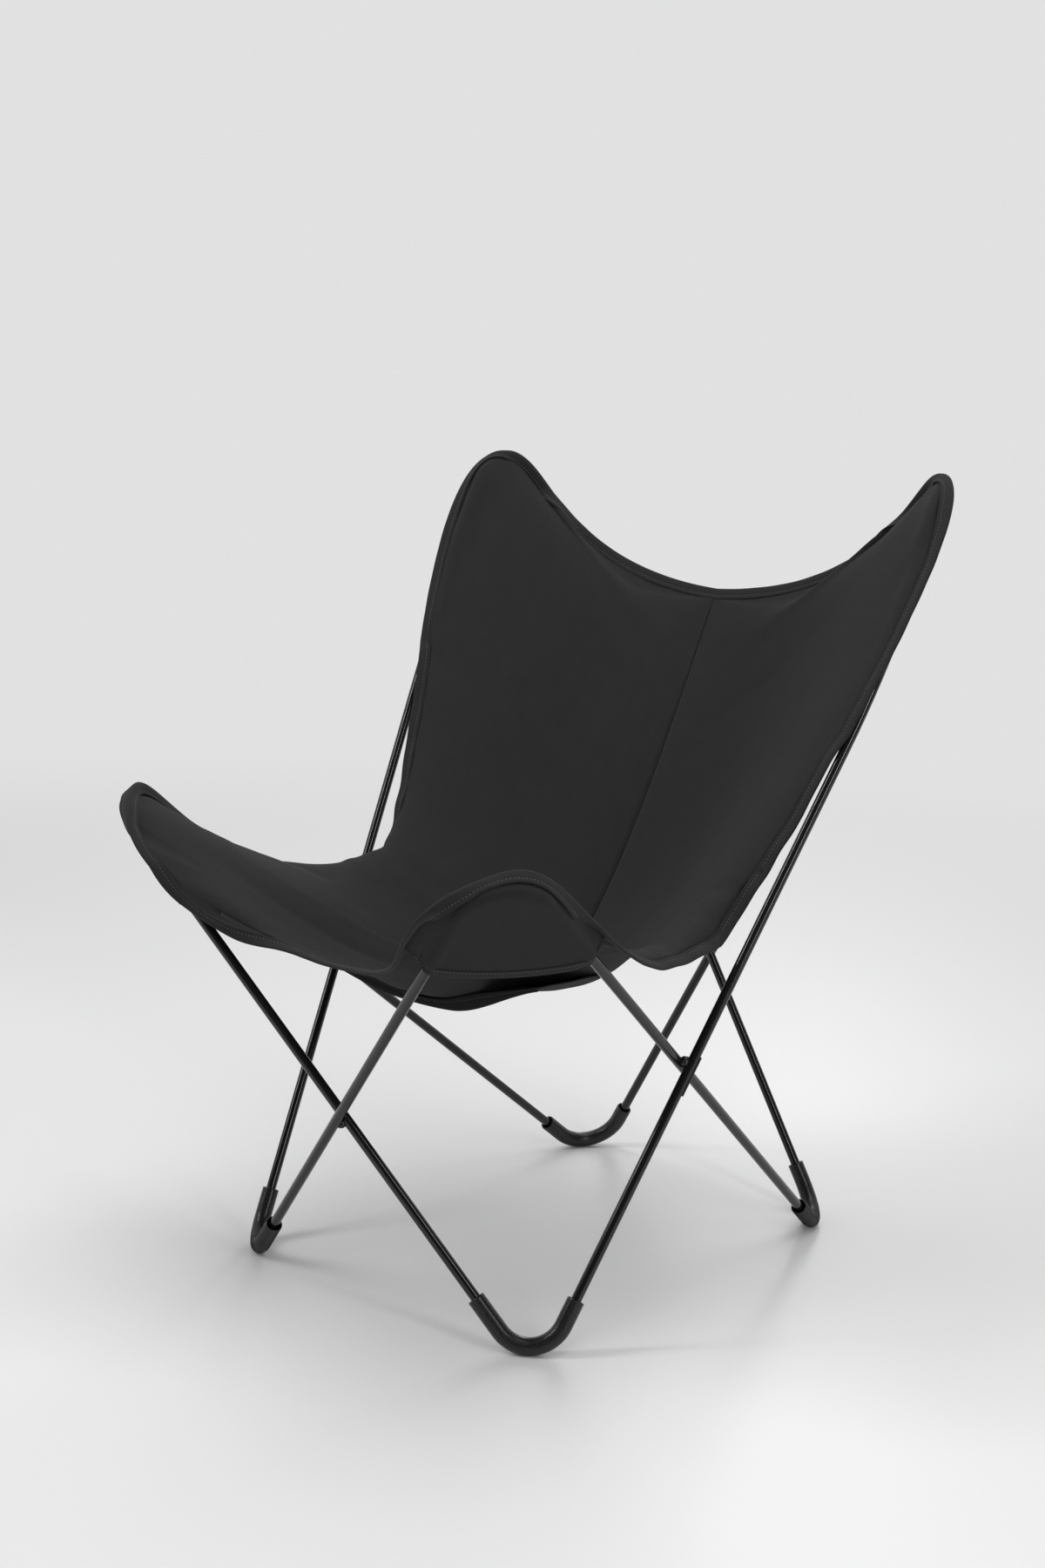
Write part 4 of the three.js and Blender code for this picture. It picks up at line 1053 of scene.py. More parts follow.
    def crease(self, folds: Sequence[Fold]) -> None:
        """Presses folds, the groove beside the tape and a slight unevenness into the fine net.

        Args:
            folds: The folds.
        """
        z, normal = self.size, self.normals()
        calm = smooth((self.shares - z.calm[0]) / z.calm[1]) * smooth((1 - self.shares) / z.calm[1])
        past = np.linalg.norm(self.net - self.fine.points[:, None], axis=-1) - self.fine.width[:, None]
        deep, away, width = z.groove
        depth = -deep * np.exp(-((past - away) / width) ** 2) * (self.shares > z.tucked_rings[-2])
        for fold in folds:
            a, b = self.place(*fold.start), self.place(*fold.end)
            d = b - a
            t = np.clip(np.sum((self.net - a) * d, axis=-1) / np.dot(d, d), 0, 1)
            r = np.linalg.norm(self.net - (a + t[..., None] * d), axis=-1) / fold.width
            depth += fold.depth * np.exp(-r * r) * np.sqrt(np.maximum(0.0, 1 - t ** 3))
        depth += z.slack * self._uneven() * calm[None]
        self.net = self.net + normal * depth[..., None]

    def _uneven(self) -> Points:
        """Gentle pseudo-random unevenness over the net, from -1 to 1."""
        x, y, v = self.net[..., 0], self.net[..., 1], self.net[..., 2]
        total = np.zeros(x.shape)
        for k in range(1, self.UNEVEN_WAVES + 1):
            phase = self.UNEVEN_TURN * k + self.sign
            a, b, c = (long + more * k for long, more in self.UNEVEN)
            total += np.sin(x / a + y / b + phase) * np.cos(v / c - phase) / k
        return total / self.UNEVEN_SUM

    def flat_size(self) -> tuple:
        """Returns: Greatest width, seam length and area of the half's cloth, in metres."""
        return float(row_travel(self.net).max()) * MM, self.seam.length * MM, cloth_area(self.net) * MM * MM


FRONT_POCKET = PocketSize(before=168.0, after=188.0)
REAR_POCKET = PocketSize(before=155.0, after=170.0)


# Meshes


class Workshop:
    """Makes finished pieces: meshes in the row frame that ride on the chair's body."""

    def __init__(self, shift: Points) -> None:
        """Args: shift: From design coordinates to the row frame, in millimetres."""
        self.shift = np.asarray(shift, float)

    def to_row(self, points: Points) -> Points:
        """Args: points: In design millimetres. Returns: The points in row metres."""
        return (np.asarray(points, float).reshape(-1, 3) + self.shift) * MM

    def mesh(self, name: str, points: Points, faces: Sequence, uv: Optional[Points] = None,
             edges: Sequence = ()) -> bpy.types.Object:
        """Object with a mesh from points in design millimetres.

        Args:
            name: Name of the object.
            points: Its vertices.
            faces: Its faces, which are turned outwards if the mesh is closed.
            uv: One UV pair for each vertex, in metres.
            edges: Loose edges.

        Returns:
            The object.
        """
        points = np.asarray(points, float).reshape(-1, 3)
        faces = [tuple(f) for f in faces]
        if faces and self._volume(points, faces) < 0:
            faces = [f[::-1] for f in faces]
        mesh = bpy.data.meshes.new(name)
        mesh.from_pydata(self.to_row(points).tolist(), list(edges), faces)
        if uv is not None:
            layer = mesh.uv_layers.new(name="UVMap")
            index = np.empty(len(mesh.loops), int)
            mesh.loops.foreach_get("vertex_index", index)
            layer.data.foreach_set("uv", np.asarray(uv, float).reshape(-1, 2)[index].ravel())
        mesh.update()
        obj = bpy.data.objects.new(name, mesh)
        bpy.context.scene.collection.objects.link(obj)
        return obj

    @staticmethod
    def _volume(points: Points, faces: Sequence) -> float:
        """Signed volume inside the faces."""
        quads = np.array([f for f in faces if len(f) == 4], int).reshape(-1, 4)
        tris = np.array([f for f in faces if len(f) == 3], int).reshape(-1, 3)
        tris = np.concatenate([tris, quads[:, [0, 1, 2]], quads[:, [0, 2, 3]]])
        centred = points - points.mean(axis=0)
        a, b, c = (centred[tris[:, k]] for k in range(3))
        return float(np.sum(a * np.cross(b, c)))

    def cloth(self, name: str, net: Points, normals: Points, thick: float,
              uv: Sequence[Points]) -> bpy.types.Object:
        """Closed sheet about a net, with the same UV map on both faces.

        Args:
            name: Name of the object.
            net: Rows and columns of points.
            normals: Their unit normals.
            thick: Thickness of the sheet.
            uv: Both coordinates of each point, in millimetres.

        Returns:
            The object.
        """
        points, faces = shell(net, normals, thick)
        flat = np.stack(uv, axis=-1).reshape(-1, 2) * MM
        return self.mesh(name, points, faces, np.concatenate([flat, flat]))

    def finish(self, obj: bpy.types.Object, material: bpy.types.Material, slot: Slot,
               nodes: Sequence[str] = (), merge: float = 0.0) -> bpy.types.Object:
        """Gives a piece its finish and puts it on the chair's body.

        Args:
            obj: The piece.
            material: Its material.
            slot: Its slot in the record.
            nodes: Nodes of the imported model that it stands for.
            merge: Distance in metres within which its vertices are joined.

        Returns:
            The same piece.
        """
        mesh = obj.data
        if merge > 0:
            work = bmesh.new()
            work.from_mesh(mesh)
            bmesh.ops.remove_doubles(work, verts=work.verts, dist=merge)
            work.to_mesh(mesh)
            work.free()
        mesh.polygons.foreach_set("use_smooth", [True] * len(mesh.polygons))
        if not mesh.materials:
            mesh.materials.append(material)
        mesh.update()
        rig.ride(obj, "root")
        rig.slot(obj, slot.value)
        if nodes:
            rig.replaces(obj, *nodes)
        log.info("%s: %d faces", obj.name, len(mesh.polygons))
        return obj

    def evaluated(self, obj: bpy.types.Object) -> bpy.types.Object:
        """Args: obj: A piece with modifiers. Returns: The same piece with their result as its mesh."""
        graph = bpy.context.evaluated_depsgraph_get()
        graph.update()
        result = bpy.data.meshes.new_from_object(obj.evaluated_get(graph), depsgraph=graph)
        obj.modifiers.clear()
        old, obj.data = obj.data, result
        bpy.data.meshes.remove(old)
        return obj


def grid_faces(rows: int, columns: int, wrap_rows: bool = False, wrap_columns: bool = False) -> list:
    """Quads of a grid of points.

    Args:
        rows: Number of rows.
        columns: Number of points in a row.
        wrap_rows: True if the last row joins the first.
        wrap_columns: True if each row closes on itself.

    Returns:
        The faces.
    """
    i, j = np.meshgrid(np.arange(rows if wrap_rows else rows - 1),
                       np.arange(columns if wrap_columns else columns - 1), indexing="ij")
    i2, j2 = (i + 1) % rows, (j + 1) % columns
    quads = np.stack([i * columns + j, i * columns + j2, i2 * columns + j2, i2 * columns + j], axis=-1)
    return quads.reshape(-1, 4).tolist()


def shell(points: Points, normals: Points, thick: float) -> tuple:
    """Closed sheet about a grid of points.

    Args:
        points: Rows and columns of points.
        normals: Their unit normals.
        thick: Thickness of the sheet.

    Returns:
        The vertices and the faces.
    """
    rows, columns = points.shape[:2]
    count = rows * columns
    top = (points + normals * thick / 2).reshape(-1, 3)
    low = (points - normals * thick / 2).reshape(-1, 3)
    faces = grid_faces(rows, columns)
    faces += [[q + count for q in f[::-1]] for f in faces]
    number = np.arange(count).reshape(rows, columns)
    rim = np.concatenate([number[0, :], number[1:, -1], number[-1, -2::-1], number[-2:0:-1, 0]])
    after = np.roll(rim, -1)
    faces += [[int(q), int(p), int(p) + count, int(q) + count] for p, q in zip(rim, after)]
    return np.concatenate([top, low]), faces


def ring_mesh(rings: Points, closed: bool) -> list:
    """Faces of a row of closed rings, with flat ends where the row is open.

    Args:
        rings: Rings of points.
        closed: True if the last ring joins the first.

    Returns:
        The faces.
    """
    rows, columns = rings.shape[:2]
    faces = grid_faces(rows, columns, wrap_rows=closed, wrap_columns=True)
    if not closed:
        faces.append(list(range(columns))[::-1])
        faces.append([(rows - 1) * columns + k for k in range(columns)])
    return faces


def frames_along(points: Points, tangents: Points) -> tuple:
    """Directions across a closed path that turn as little as they can.

    Args:
        points: Points of the path.
        tangents: Its directions of travel.

    Returns:
        Two unit directions for each point.
    """
    side = np.cross(tangents[0], [0.3, 0.2, 0.9])
    sides = []
    for tangent in tangents:
        side = unit(side - tangent * float(side @ tangent))
        sides.append(side)
    sides = np.array(sides)
    ups = np.cross(tangents, sides)
    back = unit(sides[-1] - tangents[0] * float(sides[-1] @ tangents[0]))
    error = math.atan2(float(back @ ups[0]), float(back @ sides[0]))
    far = travelled(points)
    angle = (-error * far / far[-1])[:, None]
    return sides * np.cos(angle) + ups * np.sin(angle), ups * np.cos(angle) - sides * np.sin(angle)


# Node trees


class Tree:
    """Nodes of a group, a material or the world."""

    def __init__(self, tree: bpy.types.NodeTree) -> None:
        """Args: tree: Where the nodes go."""
        self.tree = tree

    def node(self, kind: str, values: Optional[dict] = None, **settings: object) -> bpy.types.Node:
        """Args: kind: Type of node. values: Input values. settings: Properties. Returns: The node."""
        node = self.tree.nodes.new(kind)
        for key, value in settings.items():
            setattr(node, key, value)
        for key, value in (values or {}).items():
            node.inputs[key].default_value = value
        return node

    def wire(self, a: bpy.types.NodeSocket, b: bpy.types.NodeSocket) -> None:
        """Args: a: Output. b: Input that it feeds."""
        self.tree.links.new(a, b)

    def chain(self, *links: tuple) -> None:
        """Args: links: Each a node, its output, the next node and its input."""
        for start, output, end, into in links:
            self.wire(start.outputs[output], end.inputs[into])

    def socket(self, name: str, kind: str, side: str = "INPUT") -> bpy.types.NodeTreeInterfaceSocket:
        """Args: name: Of the socket. kind: Its type. side: INPUT or OUTPUT. Returns: The socket."""
        return self.tree.interface.new_socket(name, in_out=side, socket_type=kind)

    def math(self, operation: str, a: object, b: object) -> bpy.types.NodeSocket:
        """Args: operation: Of a math node. a, b: Sockets or values. Returns: Its output."""
        node = self.node("ShaderNodeMath", operation=operation)
        for socket, value in zip(node.inputs, (a, b)):
            if isinstance(value, bpy.types.NodeSocket):
                self.wire(value, socket)
            else:
                socket.default_value = value
        return node.outputs[0]


# Repeats by geometry nodes


class Repeat(Tree):
    """Base of the groups that put instances along a line."""

    def __init__(self, name: str, inputs: Sequence[str]) -> None:
        """Args: name: Name of the group. inputs: Names of its number inputs, beside Pitch."""
        super().__init__(bpy.data.node_groups.new(name, "GeometryNodeTree"))
        self.socket("Geometry", "NodeSocketGeometry", "OUTPUT")
        kinds = {"Geometry": "NodeSocketGeometry", "Finish": "NodeSocketMaterial", "Seed": "NodeSocketInt"}
        self.sockets = {key: self.socket(key, kinds.get(key, "NodeSocketFloat")).identifier
                        for key in ("Geometry", "Pitch", "Finish", *inputs)}
        self.build()

    def instance(self, source: bpy.types.Node) -> bpy.types.NodeSocket:
        """Args: source: The group's inputs. Returns: The output that holds one instance."""
        raise NotImplementedError

    def scale(self, source: bpy.types.Node) -> bpy.types.NodeSocket:
        """Args: source: The group's inputs. Returns: The output that holds each instance's scale."""
        raise NotImplementedError

    def build(self) -> None:
        """Lays the nodes that carry instances along the line and realize them."""
        source = self.node("NodeGroupInput")
        curve = self.node("GeometryNodeMeshToCurve")
        even = self.node("GeometryNodeResampleCurve", mode="LENGTH")
        tangent = self.node("GeometryNodeInputTangent")
        align = self.node("FunctionNodeAlignRotationToVector", axis="Z")
        put = self.node("GeometryNodeInstanceOnPoints")
        real = self.node("GeometryNodeRealizeInstances")
        soft = self.node("GeometryNodeSetShadeSmooth")
        finish = self.node("GeometryNodeSetMaterial")
        sink = self.node("NodeGroupOutput")
        self.wire(self.instance(source), put.inputs["Instance"])
        self.wire(self.scale(source), put.inputs["Scale"])
        self.chain((source, "Geometry", curve, "Mesh"), (curve, "Curve", even, "Curve"),
                   (source, "Pitch", even, "Length"), (even, "Curve", put, "Points"),
                   (tangent, "Tangent", align, "Vector"), (align, "Rotation", put, "Rotation"),
                   (put, "Instances", real, "Geometry"), (real, "Geometry", soft, "Geometry"),
                   (soft, "Geometry", finish, "Geometry"), (source, "Finish", finish, "Material"),
                   (finish, "Geometry", sink, "Geometry"))

    def apply(self, shop: Workshop, name: str, lines: Sequence[Points], values: dict) -> bpy.types.Object:
        """Runs the group along lines.

        Args:
            shop: Maker of the piece.
            name: Its name.
            lines: Lines in design millimetres.
            values: Value of each named input.

        Returns:
            The piece.
        """
        points = np.concatenate(lines)
        edges, low = [], 0
        for line in lines:
            edges += [(low + k, low + k + 1) for k in range(len(line) - 1)]
            low += len(line)
        obj = shop.mesh(name, points, [], edges=edges)
        modifier = obj.modifiers.new(self.tree.name, "NODES")
        modifier.node_group = self.tree
        for key, value in values.items():
            modifier[self.sockets[key]] = value
        return shop.evaluated(obj)


class StitchRepeat(Repeat):
    """Stitches along a line."""

    def __init__(self) -> None:
        """Builds the group."""
        super().__init__("stitch_rows", ("Stitch Length", "Thread Radius", "Jitter", "Seed"))

    def instance(self, source: bpy.types.Node) -> bpy.types.NodeSocket:
        """One stitch, as a ball that the scale draws out."""
        return self.node("GeometryNodeMeshIcoSphere", {"Radius": 1.0, "Subdivisions": 1}).outputs["Mesh"]

    def scale(self, source: bpy.types.Node) -> bpy.types.NodeSocket:
        """Scale of each stitch, with a little chance in its length."""
        given = source.outputs
        chance = self.node("FunctionNodeRandomValue", data_type="FLOAT")
        least, most = [s for s in chance.inputs if s.enabled and s.type == "VALUE"][:2]
        self.wire(self.math("SUBTRACT", 1.0, given["Jitter"]), least)
        self.wire(self.math("ADD", 1.0, given["Jitter"]), most)
        drawn = [s for s in chance.outputs if s.enabled][0]
        join = self.node("ShaderNodeCombineXYZ")
        half = self.math("MULTIPLY", given["Stitch Length"], 0.5)
        self.wire(self.math("MULTIPLY", half, drawn), join.inputs["Z"])
        self.chain((source, "Seed", chance, "Seed"), (source, "Thread Radius", join, "X"),
                   (source, "Thread Radius", join, "Y"))
        return join.outputs["Vector"]


class RibRepeat(Repeat):
    """Rings round a line."""

    AROUND, SECTION = 40, 6

    def __init__(self) -> None:
        """Builds the group."""
        super().__init__("sleeve_ribs", ("Ring Radius", "Rib Radius"))

    def instance(self, source: bpy.types.Node) -> bpy.types.NodeSocket:
        """One ring, swept from two circles."""
        path = self.node("GeometryNodeCurvePrimitiveCircle", {"Resolution": self.AROUND})
        section = self.node("GeometryNodeCurvePrimitiveCircle", {"Resolution": self.SECTION})
        sweep = self.node("GeometryNodeCurveToMesh")
        self.chain((source, "Ring Radius", path, "Radius"), (source, "Rib Radius", section, "Radius"),
                   (path, "Curve", sweep, "Curve"), (section, "Curve", sweep, "Profile Curve"))
        return sweep.outputs["Mesh"]

    def scale(self, source: bpy.types.Node) -> bpy.types.NodeSocket:
        """Even scale of one."""
        return self.node("ShaderNodeCombineXYZ", dict.fromkeys("XYZ", 1.0)).outputs["Vector"]


# Shader groups


class ShaderGroup(Tree):
    """Base of the effects that several materials share."""

    def __init__(self, name: str, inputs: dict, output: str) -> None:
        """Args: name: Its name. inputs: Input name to default. output: Its output, beside Normal."""
        super().__init__(bpy.data.node_groups.new(name, "ShaderNodeTree"))
        self.source, self.sink = self.node("NodeGroupInput"), self.node("NodeGroupOutput")
        self.socket("Vector", "NodeSocketVector")
        for key, value in inputs.items():
            self.socket(key, self.kind(value)).default_value = value
        self.socket(output, self.kind(inputs[output]), "OUTPUT")
        self.socket("Normal", "NodeSocketVector", "OUTPUT")
        self.given, self.result = self.source.outputs, self.sink.inputs

    @staticmethod
    def kind(value: object) -> str:
        """Args: value: A default. Returns: The type of its socket."""
        return "NodeSocketColor" if isinstance(value, tuple) else "NodeSocketFloat"

    def noise(self, scale: tuple, detail: float) -> bpy.types.NodeSocket:
        """Args: scale: Of each axis. detail: Octaves. Returns: Noise from 0 to 1."""
        mapping = self.node("ShaderNodeMapping", {"Scale": scale})
        noise = self.node("ShaderNodeTexNoise", {"Scale": 1.0, "Detail": detail, "Roughness": 0.55})
        self.chain((self.source, "Vector", mapping, "Vector"), (mapping, "Vector", noise, "Vector"))
        return noise.outputs[0]

    def relief(self, height: bpy.types.NodeSocket, distance: float) -> None:
        """Args: height: Of the surface. distance: Metres that a height of 1 stands for."""
        bump = self.node("ShaderNodeBump", {"Distance": distance})
        self.wire(height, bump.inputs["Height"])
        self.chain((self.source, "Relief", bump, "Strength"), (bump, "Normal", self.sink, "Normal"))


class WeaveGroup(ShaderGroup):
    """Plain weave with slubs and faint mottling, on coordinates in metres."""

    SLUB, MOTTLE = (1500.0, 60.0, 1.0), (28.0, 28.0, 28.0)
    TONE, HEIGHT, DEPTH = 0.05, 0.5, 0.0003

    def __init__(self) -> None:
        """Builds the group."""
        super().__init__("plain_weave", {"Colour": (0.03, 0.03, 0.031, 1.0), "Threads": 1100.0, "Slub": 0.3,
                                         "Mottle": 0.2, "Relief": 0.3}, "Colour")
        given = self.given
        split = self.node("ShaderNodeSeparateXYZ")
        self.wire(given["Vector"], split.inputs[0])
        warp, weft = (self.math("SINE", self.math("MULTIPLY", self.math(
            "MULTIPLY", split.outputs[k], given["Threads"]), 2 * math.pi), 0.0) for k in (0, 1))
        weave = self.math("MULTIPLY", warp, weft)
        along, across = self.noise(self.SLUB, 2.0), self.noise((self.SLUB[1], self.SLUB[0], self.SLUB[2]), 2.0)
        slubs = self.math("SUBTRACT", self.math("ADD", along, across), 1.0)
        mottle = self.math("SUBTRACT", self.noise(self.MOTTLE, 4.0), 0.5)
        tone = self.math("ADD", self.math("MULTIPLY", slubs, given["Slub"]),
                         self.math("MULTIPLY", mottle, given["Mottle"]))
        tone = self.math("ADD", self.math("ADD", tone, self.math("MULTIPLY", weave, self.TONE)), 1.0)
        shade = self.node("ShaderNodeVectorMath", operation="SCALE")
        self.wire(given["Colour"], shade.inputs[0])
        self.wire(tone, shade.inputs["Scale"])
        self.wire(shade.outputs[0], self.result["Colour"])
        self.relief(self.math("ADD", self.math("MULTIPLY", weave, self.HEIGHT), slubs), self.DEPTH)


class SkinGroup(ShaderGroup):
    """Slight waviness and uneven gloss of paint and plastic."""

    GLOSS = (45.0, 45.0, 45.0)
    DEPTH = 0.0004

    def __init__(self) -> None:
        """Builds the group."""
        super().__init__("skin", {"Roughness": 0.2, "Spread": 0.06, "Relief": 0.1, "Grain": 300.0}, "Roughness")
        given = self.given
        wavy = self.node("ShaderNodeTexNoise", {"Detail": 2.0})
        self.chain((self.source, "Vector", wavy, "Vector"), (self.source, "Grain", wavy, "Scale"))
        spread = self.math("MULTIPLY", self.math("SUBTRACT", self.noise(self.GLOSS, 4.0), 0.5), given["Spread"])
        self.wire(self.math("ADD", given["Roughness"], spread), self.result["Roughness"])
        self.relief(wavy.outputs[0], self.DEPTH)


# Finishes


def new_material(name: str, surface: dict) -> tuple:
    """Material whose surface shader has its values.

    Args:
        name: Its name.
        surface: Values of the shader's inputs.

    Returns:
        The material, its tree and the shader.
    """
    material = bpy.data.materials.new(name)
    material.use_nodes = True
    shader = material.node_tree.nodes["Principled BSDF"]
    for key, value in surface.items():
        shader.inputs[key].default_value = value
    return material, Tree(material.node_tree), shader


@dataclass(frozen=True)
class SkinFinish:
    """Painted steel or plastic."""

    name: str
    colour: tuple
    roughness: float
    spread: float
    relief: float
    grain: float

    def material(self, group: SkinGroup) -> bpy.types.Material:
        """Args: group: The shared effect. Returns: The material."""
        material, tree, shader = new_material(self.name, {"Base Color": (*self.colour, 1.0)})
        skin = tree.node("ShaderNodeGroup", {"Roughness": self.roughness, "Spread": self.spread,
                                             "Relief": self.relief, "Grain": self.grain}, node_tree=group.tree)
        tree.chain((tree.node("ShaderNodeTexCoord"), "Object", skin, "Vector"),
                   (skin, "Roughness", shader, "Roughness"), (skin, "Normal", shader, "Normal"))
        return material


@dataclass(frozen=True)
class ClothFinish:
    """Woven cloth on a UV map in metres."""

    name: str
    colour: tuple
    threads: float
    slub: float
    mottle: float
    relief: float
    sheen: float
    sheen_roughness: float = 0.6
    roughness: float = 0.95
    specular: float = 0.12

    def material(self, group: WeaveGroup) -> bpy.types.Material:
        """Args: group: The shared weave. Returns: The material."""
        material, tree, shader = new_material(self.name, {
            "Roughness": self.roughness, "Specular IOR Level": self.specular, "Sheen Weight": self.sheen,
            "Sheen Roughness": self.sheen_roughness})
        weave = tree.node("ShaderNodeGroup", {
            "Colour": (*self.colour, 1.0), "Threads": self.threads, "Slub": self.slub, "Mottle": self.mottle,
            "Relief": self.relief}, node_tree=group.tree)
        tree.chain((tree.node("ShaderNodeUVMap", uv_map="UVMap"), "UV", weave, "Vector"),
                   (weave, "Colour", shader, "Base Color"), (weave, "Normal", shader, "Normal"))
        return material


class Finishes:
    """All materials of the chair."""

    SKINS = {
        "paint": SkinFinish("black_paint", (0.006, 0.006, 0.0065), 0.14, 0.06, 0.04, 240.0),
        "weld": SkinFinish("painted_weld", (0.007, 0.007, 0.007), 0.22, 0.12, 0.3, 500.0),
        "sleeve": SkinFinish("sleeve_plastic", (0.009, 0.009, 0.009), 0.3, 0.1, 0.12, 380.0),
        "thread": SkinFinish("sewing_thread", (0.085, 0.085, 0.088), 0.6, 0.1, 0.2, 900.0),
        "dark_thread": SkinFinish("seam_thread", (0.016, 0.016, 0.0165), 0.7, 0.1, 0.2, 900.0),
        "strip": SkinFinish("edge_strip", (0.008, 0.008, 0.008), 0.5, 0.1, 0.1, 380.0),
    }
    CLOTHS = {
        "canvas": ClothFinish("charcoal_canvas", (0.0185, 0.0185, 0.0188), 1100.0, 0.3, 0.22, 0.35, 0.04),
        "tape": ClothFinish("binding_tape", (0.0185, 0.0185, 0.0188), 1400.0, 0.2, 0.15, 0.3, 0.05),
        "lining": ClothFinish("under_canvas", (0.019, 0.019, 0.0193), 1100.0, 0.3, 0.22, 0.35, 0.03),
    }

    def __init__(self) -> None:
        """Makes the shared groups and the materials."""
        skin, weave = SkinGroup(), WeaveGroup()
        made = {key: finish.material(skin) for key, finish in self.SKINS.items()}
        made.update({key: finish.material(weave) for key, finish in self.CLOTHS.items()})
        self.paint, self.weld, self.sleeve, self.strip = (made[k] for k in ("paint", "weld", "sleeve", "strip"))
        self.thread, self.dark_thread = made["thread"], made["dark_thread"]
        self.canvas, self.tape, self.lining = (made[k] for k in ("canvas", "tape", "lining"))


# The chair's parts


class RodFrame:
    """The two welded loops of rod."""

    STRIP_SPAN, STRIP_STEPS = (0.378, 0.43), 24
    STRIP_WAY = np.array([0.86, 0.5, 0.0])
    STRIP_SECTION = ((5.4, -1.6), (7.4, -1.2), (7.9, 0.0), (7.4, 1.2), (5.4, 1.6))

    def __init__(self, size: FrameSize, weld: WeldSize) -> None:
        """Args: size: Frame sizes. weld: Bead sizes."""
        self.size, self.weld = size, weld
        self.loops = [RodLoop(1, size), RodLoop(-1, size)]

    def build(self, shop: Workshop, finishes: Finishes) -> None:
        """Args: shop: Maker of pieces. finishes: Materials."""
        names = ("frame_loop_front_right_foot", "frame_loop_front_left_foot")
        for loop, node in zip(self.loops, names):
            rings = self._tube(loop)
            obj = shop.mesh(node.replace("frame", "rod"), rings, ring_mesh(rings, True))
            shop.finish(obj, finishes.paint, Slot.ROD, [node])
        self._welds(shop, finishes)
        self._strip(shop, finishes)

    def _tube(self, loop: RodLoop) -> Points:
        """Rings of a loop's round rod."""
        sides, ups = frames_along(loop.points, loop.tangents)
        angle = np.linspace(0, 2 * math.pi, self.size.sides, endpoint=False)[None, :, None]
        across = np.cos(angle) * sides[:, None] + np.sin(angle) * ups[:, None]
        return loop.points[:, None] + self.size.rod_radius * across

    def _ends(self, loop: int, foot: int, horn: int) -> tuple:
        """Ends of a straight rod, by loop and corner numbers."""
        return self.loops[loop].corners[foot], self.loops[loop].corners[horn]

    def _welds(self, shop: Workshop, finishes: Finishes) -> None:
        """The beads at the four crossings."""
        places = {
            "weld_front": (self._ends(0, 0, 5), self._ends(1, 0, 5), -1),
            "weld_rear": (self._ends(0, 4, 3), self._ends(1, 4, 3), 1),
            "weld_right": (self._ends(0, 0, 1), self._ends(1, 4, 5), 1),
            "weld_left": (self._ends(1, 0, 1), self._ends(0, 4, 5), 1),
        }
        for name, (a, b, notch) in places.items():
            points, faces = self._bead(a, b, notch)
            obj = shop.mesh(name.replace("weld", "bead"), points, faces)
            shop.finish(obj, finishes.weld, Slot.ROD, [name], merge=1e-6)

    def _bead(self, a: tuple, b: tuple, notch: int) -> tuple:
        """Rippled oval bead in a notch between two rods."""
        u, w, gap = a[1] - a[0], b[1] - b[0], a[0] - b[0]
        uu, uw, ww, ug, wg = u @ u, u @ w, w @ w, u @ gap, w @ gap
        scale = uu * ww - uw * uw
        on_a, on_b = a[0] + u * (uw * wg - ww * ug) / scale, b[0] + w * (uu * wg - uw * ug) / scale
        across = unit(on_b - on_a)
        middle = unit(unit(u) + unit(w)) * notch
        sideways = unit(np.cross(middle, across))
        z = self.weld
        half_angle = math.acos(float(np.clip(unit(u) @ unit(w), -1, 1))) / 2
        length = self.size.rod_radius / math.sin(half_angle) + z.tip - z.inset
        centre = (on_a + on_b) / 2 + middle * (z.inset + length / 2)
        rows, columns = z.rows, z.columns
        theta = np.linspace(0, math.pi, rows)[:, None]
        phi = np.linspace(0, 2 * math.pi, columns, endpoint=False)[None]
        ripple = z.ripple * np.cos(theta * z.ripples * 2 + 0.6 * np.sin(phi)) * np.sin(theta) ** 2
        local = [np.cos(theta) * np.ones_like(phi), np.sin(theta) * np.cos(phi), np.sin(theta) * np.sin(phi)]
        points = centre + (local[0] * (length / 2))[..., None] * middle
        points = points + (local[1] * (z.width / 2 + ripple))[..., None] * sideways
        points = points + (local[2] * (z.height / 2 + ripple))[..., None] * across
        return points, grid_faces(rows, columns, wrap_columns=True)

    def _strip(self, shop: Workshop, finishes: Finishes) -> None:
        """Thin strip that stands on the rod from the right front foot, at its crossing."""
        foot, horn = self._ends(0, 0, 1)
        place = foot + (horn - foot) * np.linspace(*self.STRIP_SPAN, self.STRIP_STEPS)[:, None]
        tangent = unit(horn - foot)
        outward = unit(self.STRIP_WAY - tangent * float(self.STRIP_WAY @ tangent))
        across = np.cross(tangent, outward)
        rings = np.stack([place + outward * a + across * b for a, b in self.STRIP_SECTION], axis=1)
        obj = shop.mesh("rod_strip", rings, ring_mesh(rings, False))
        shop.finish(obj, finishes.strip, Slot.ROD)


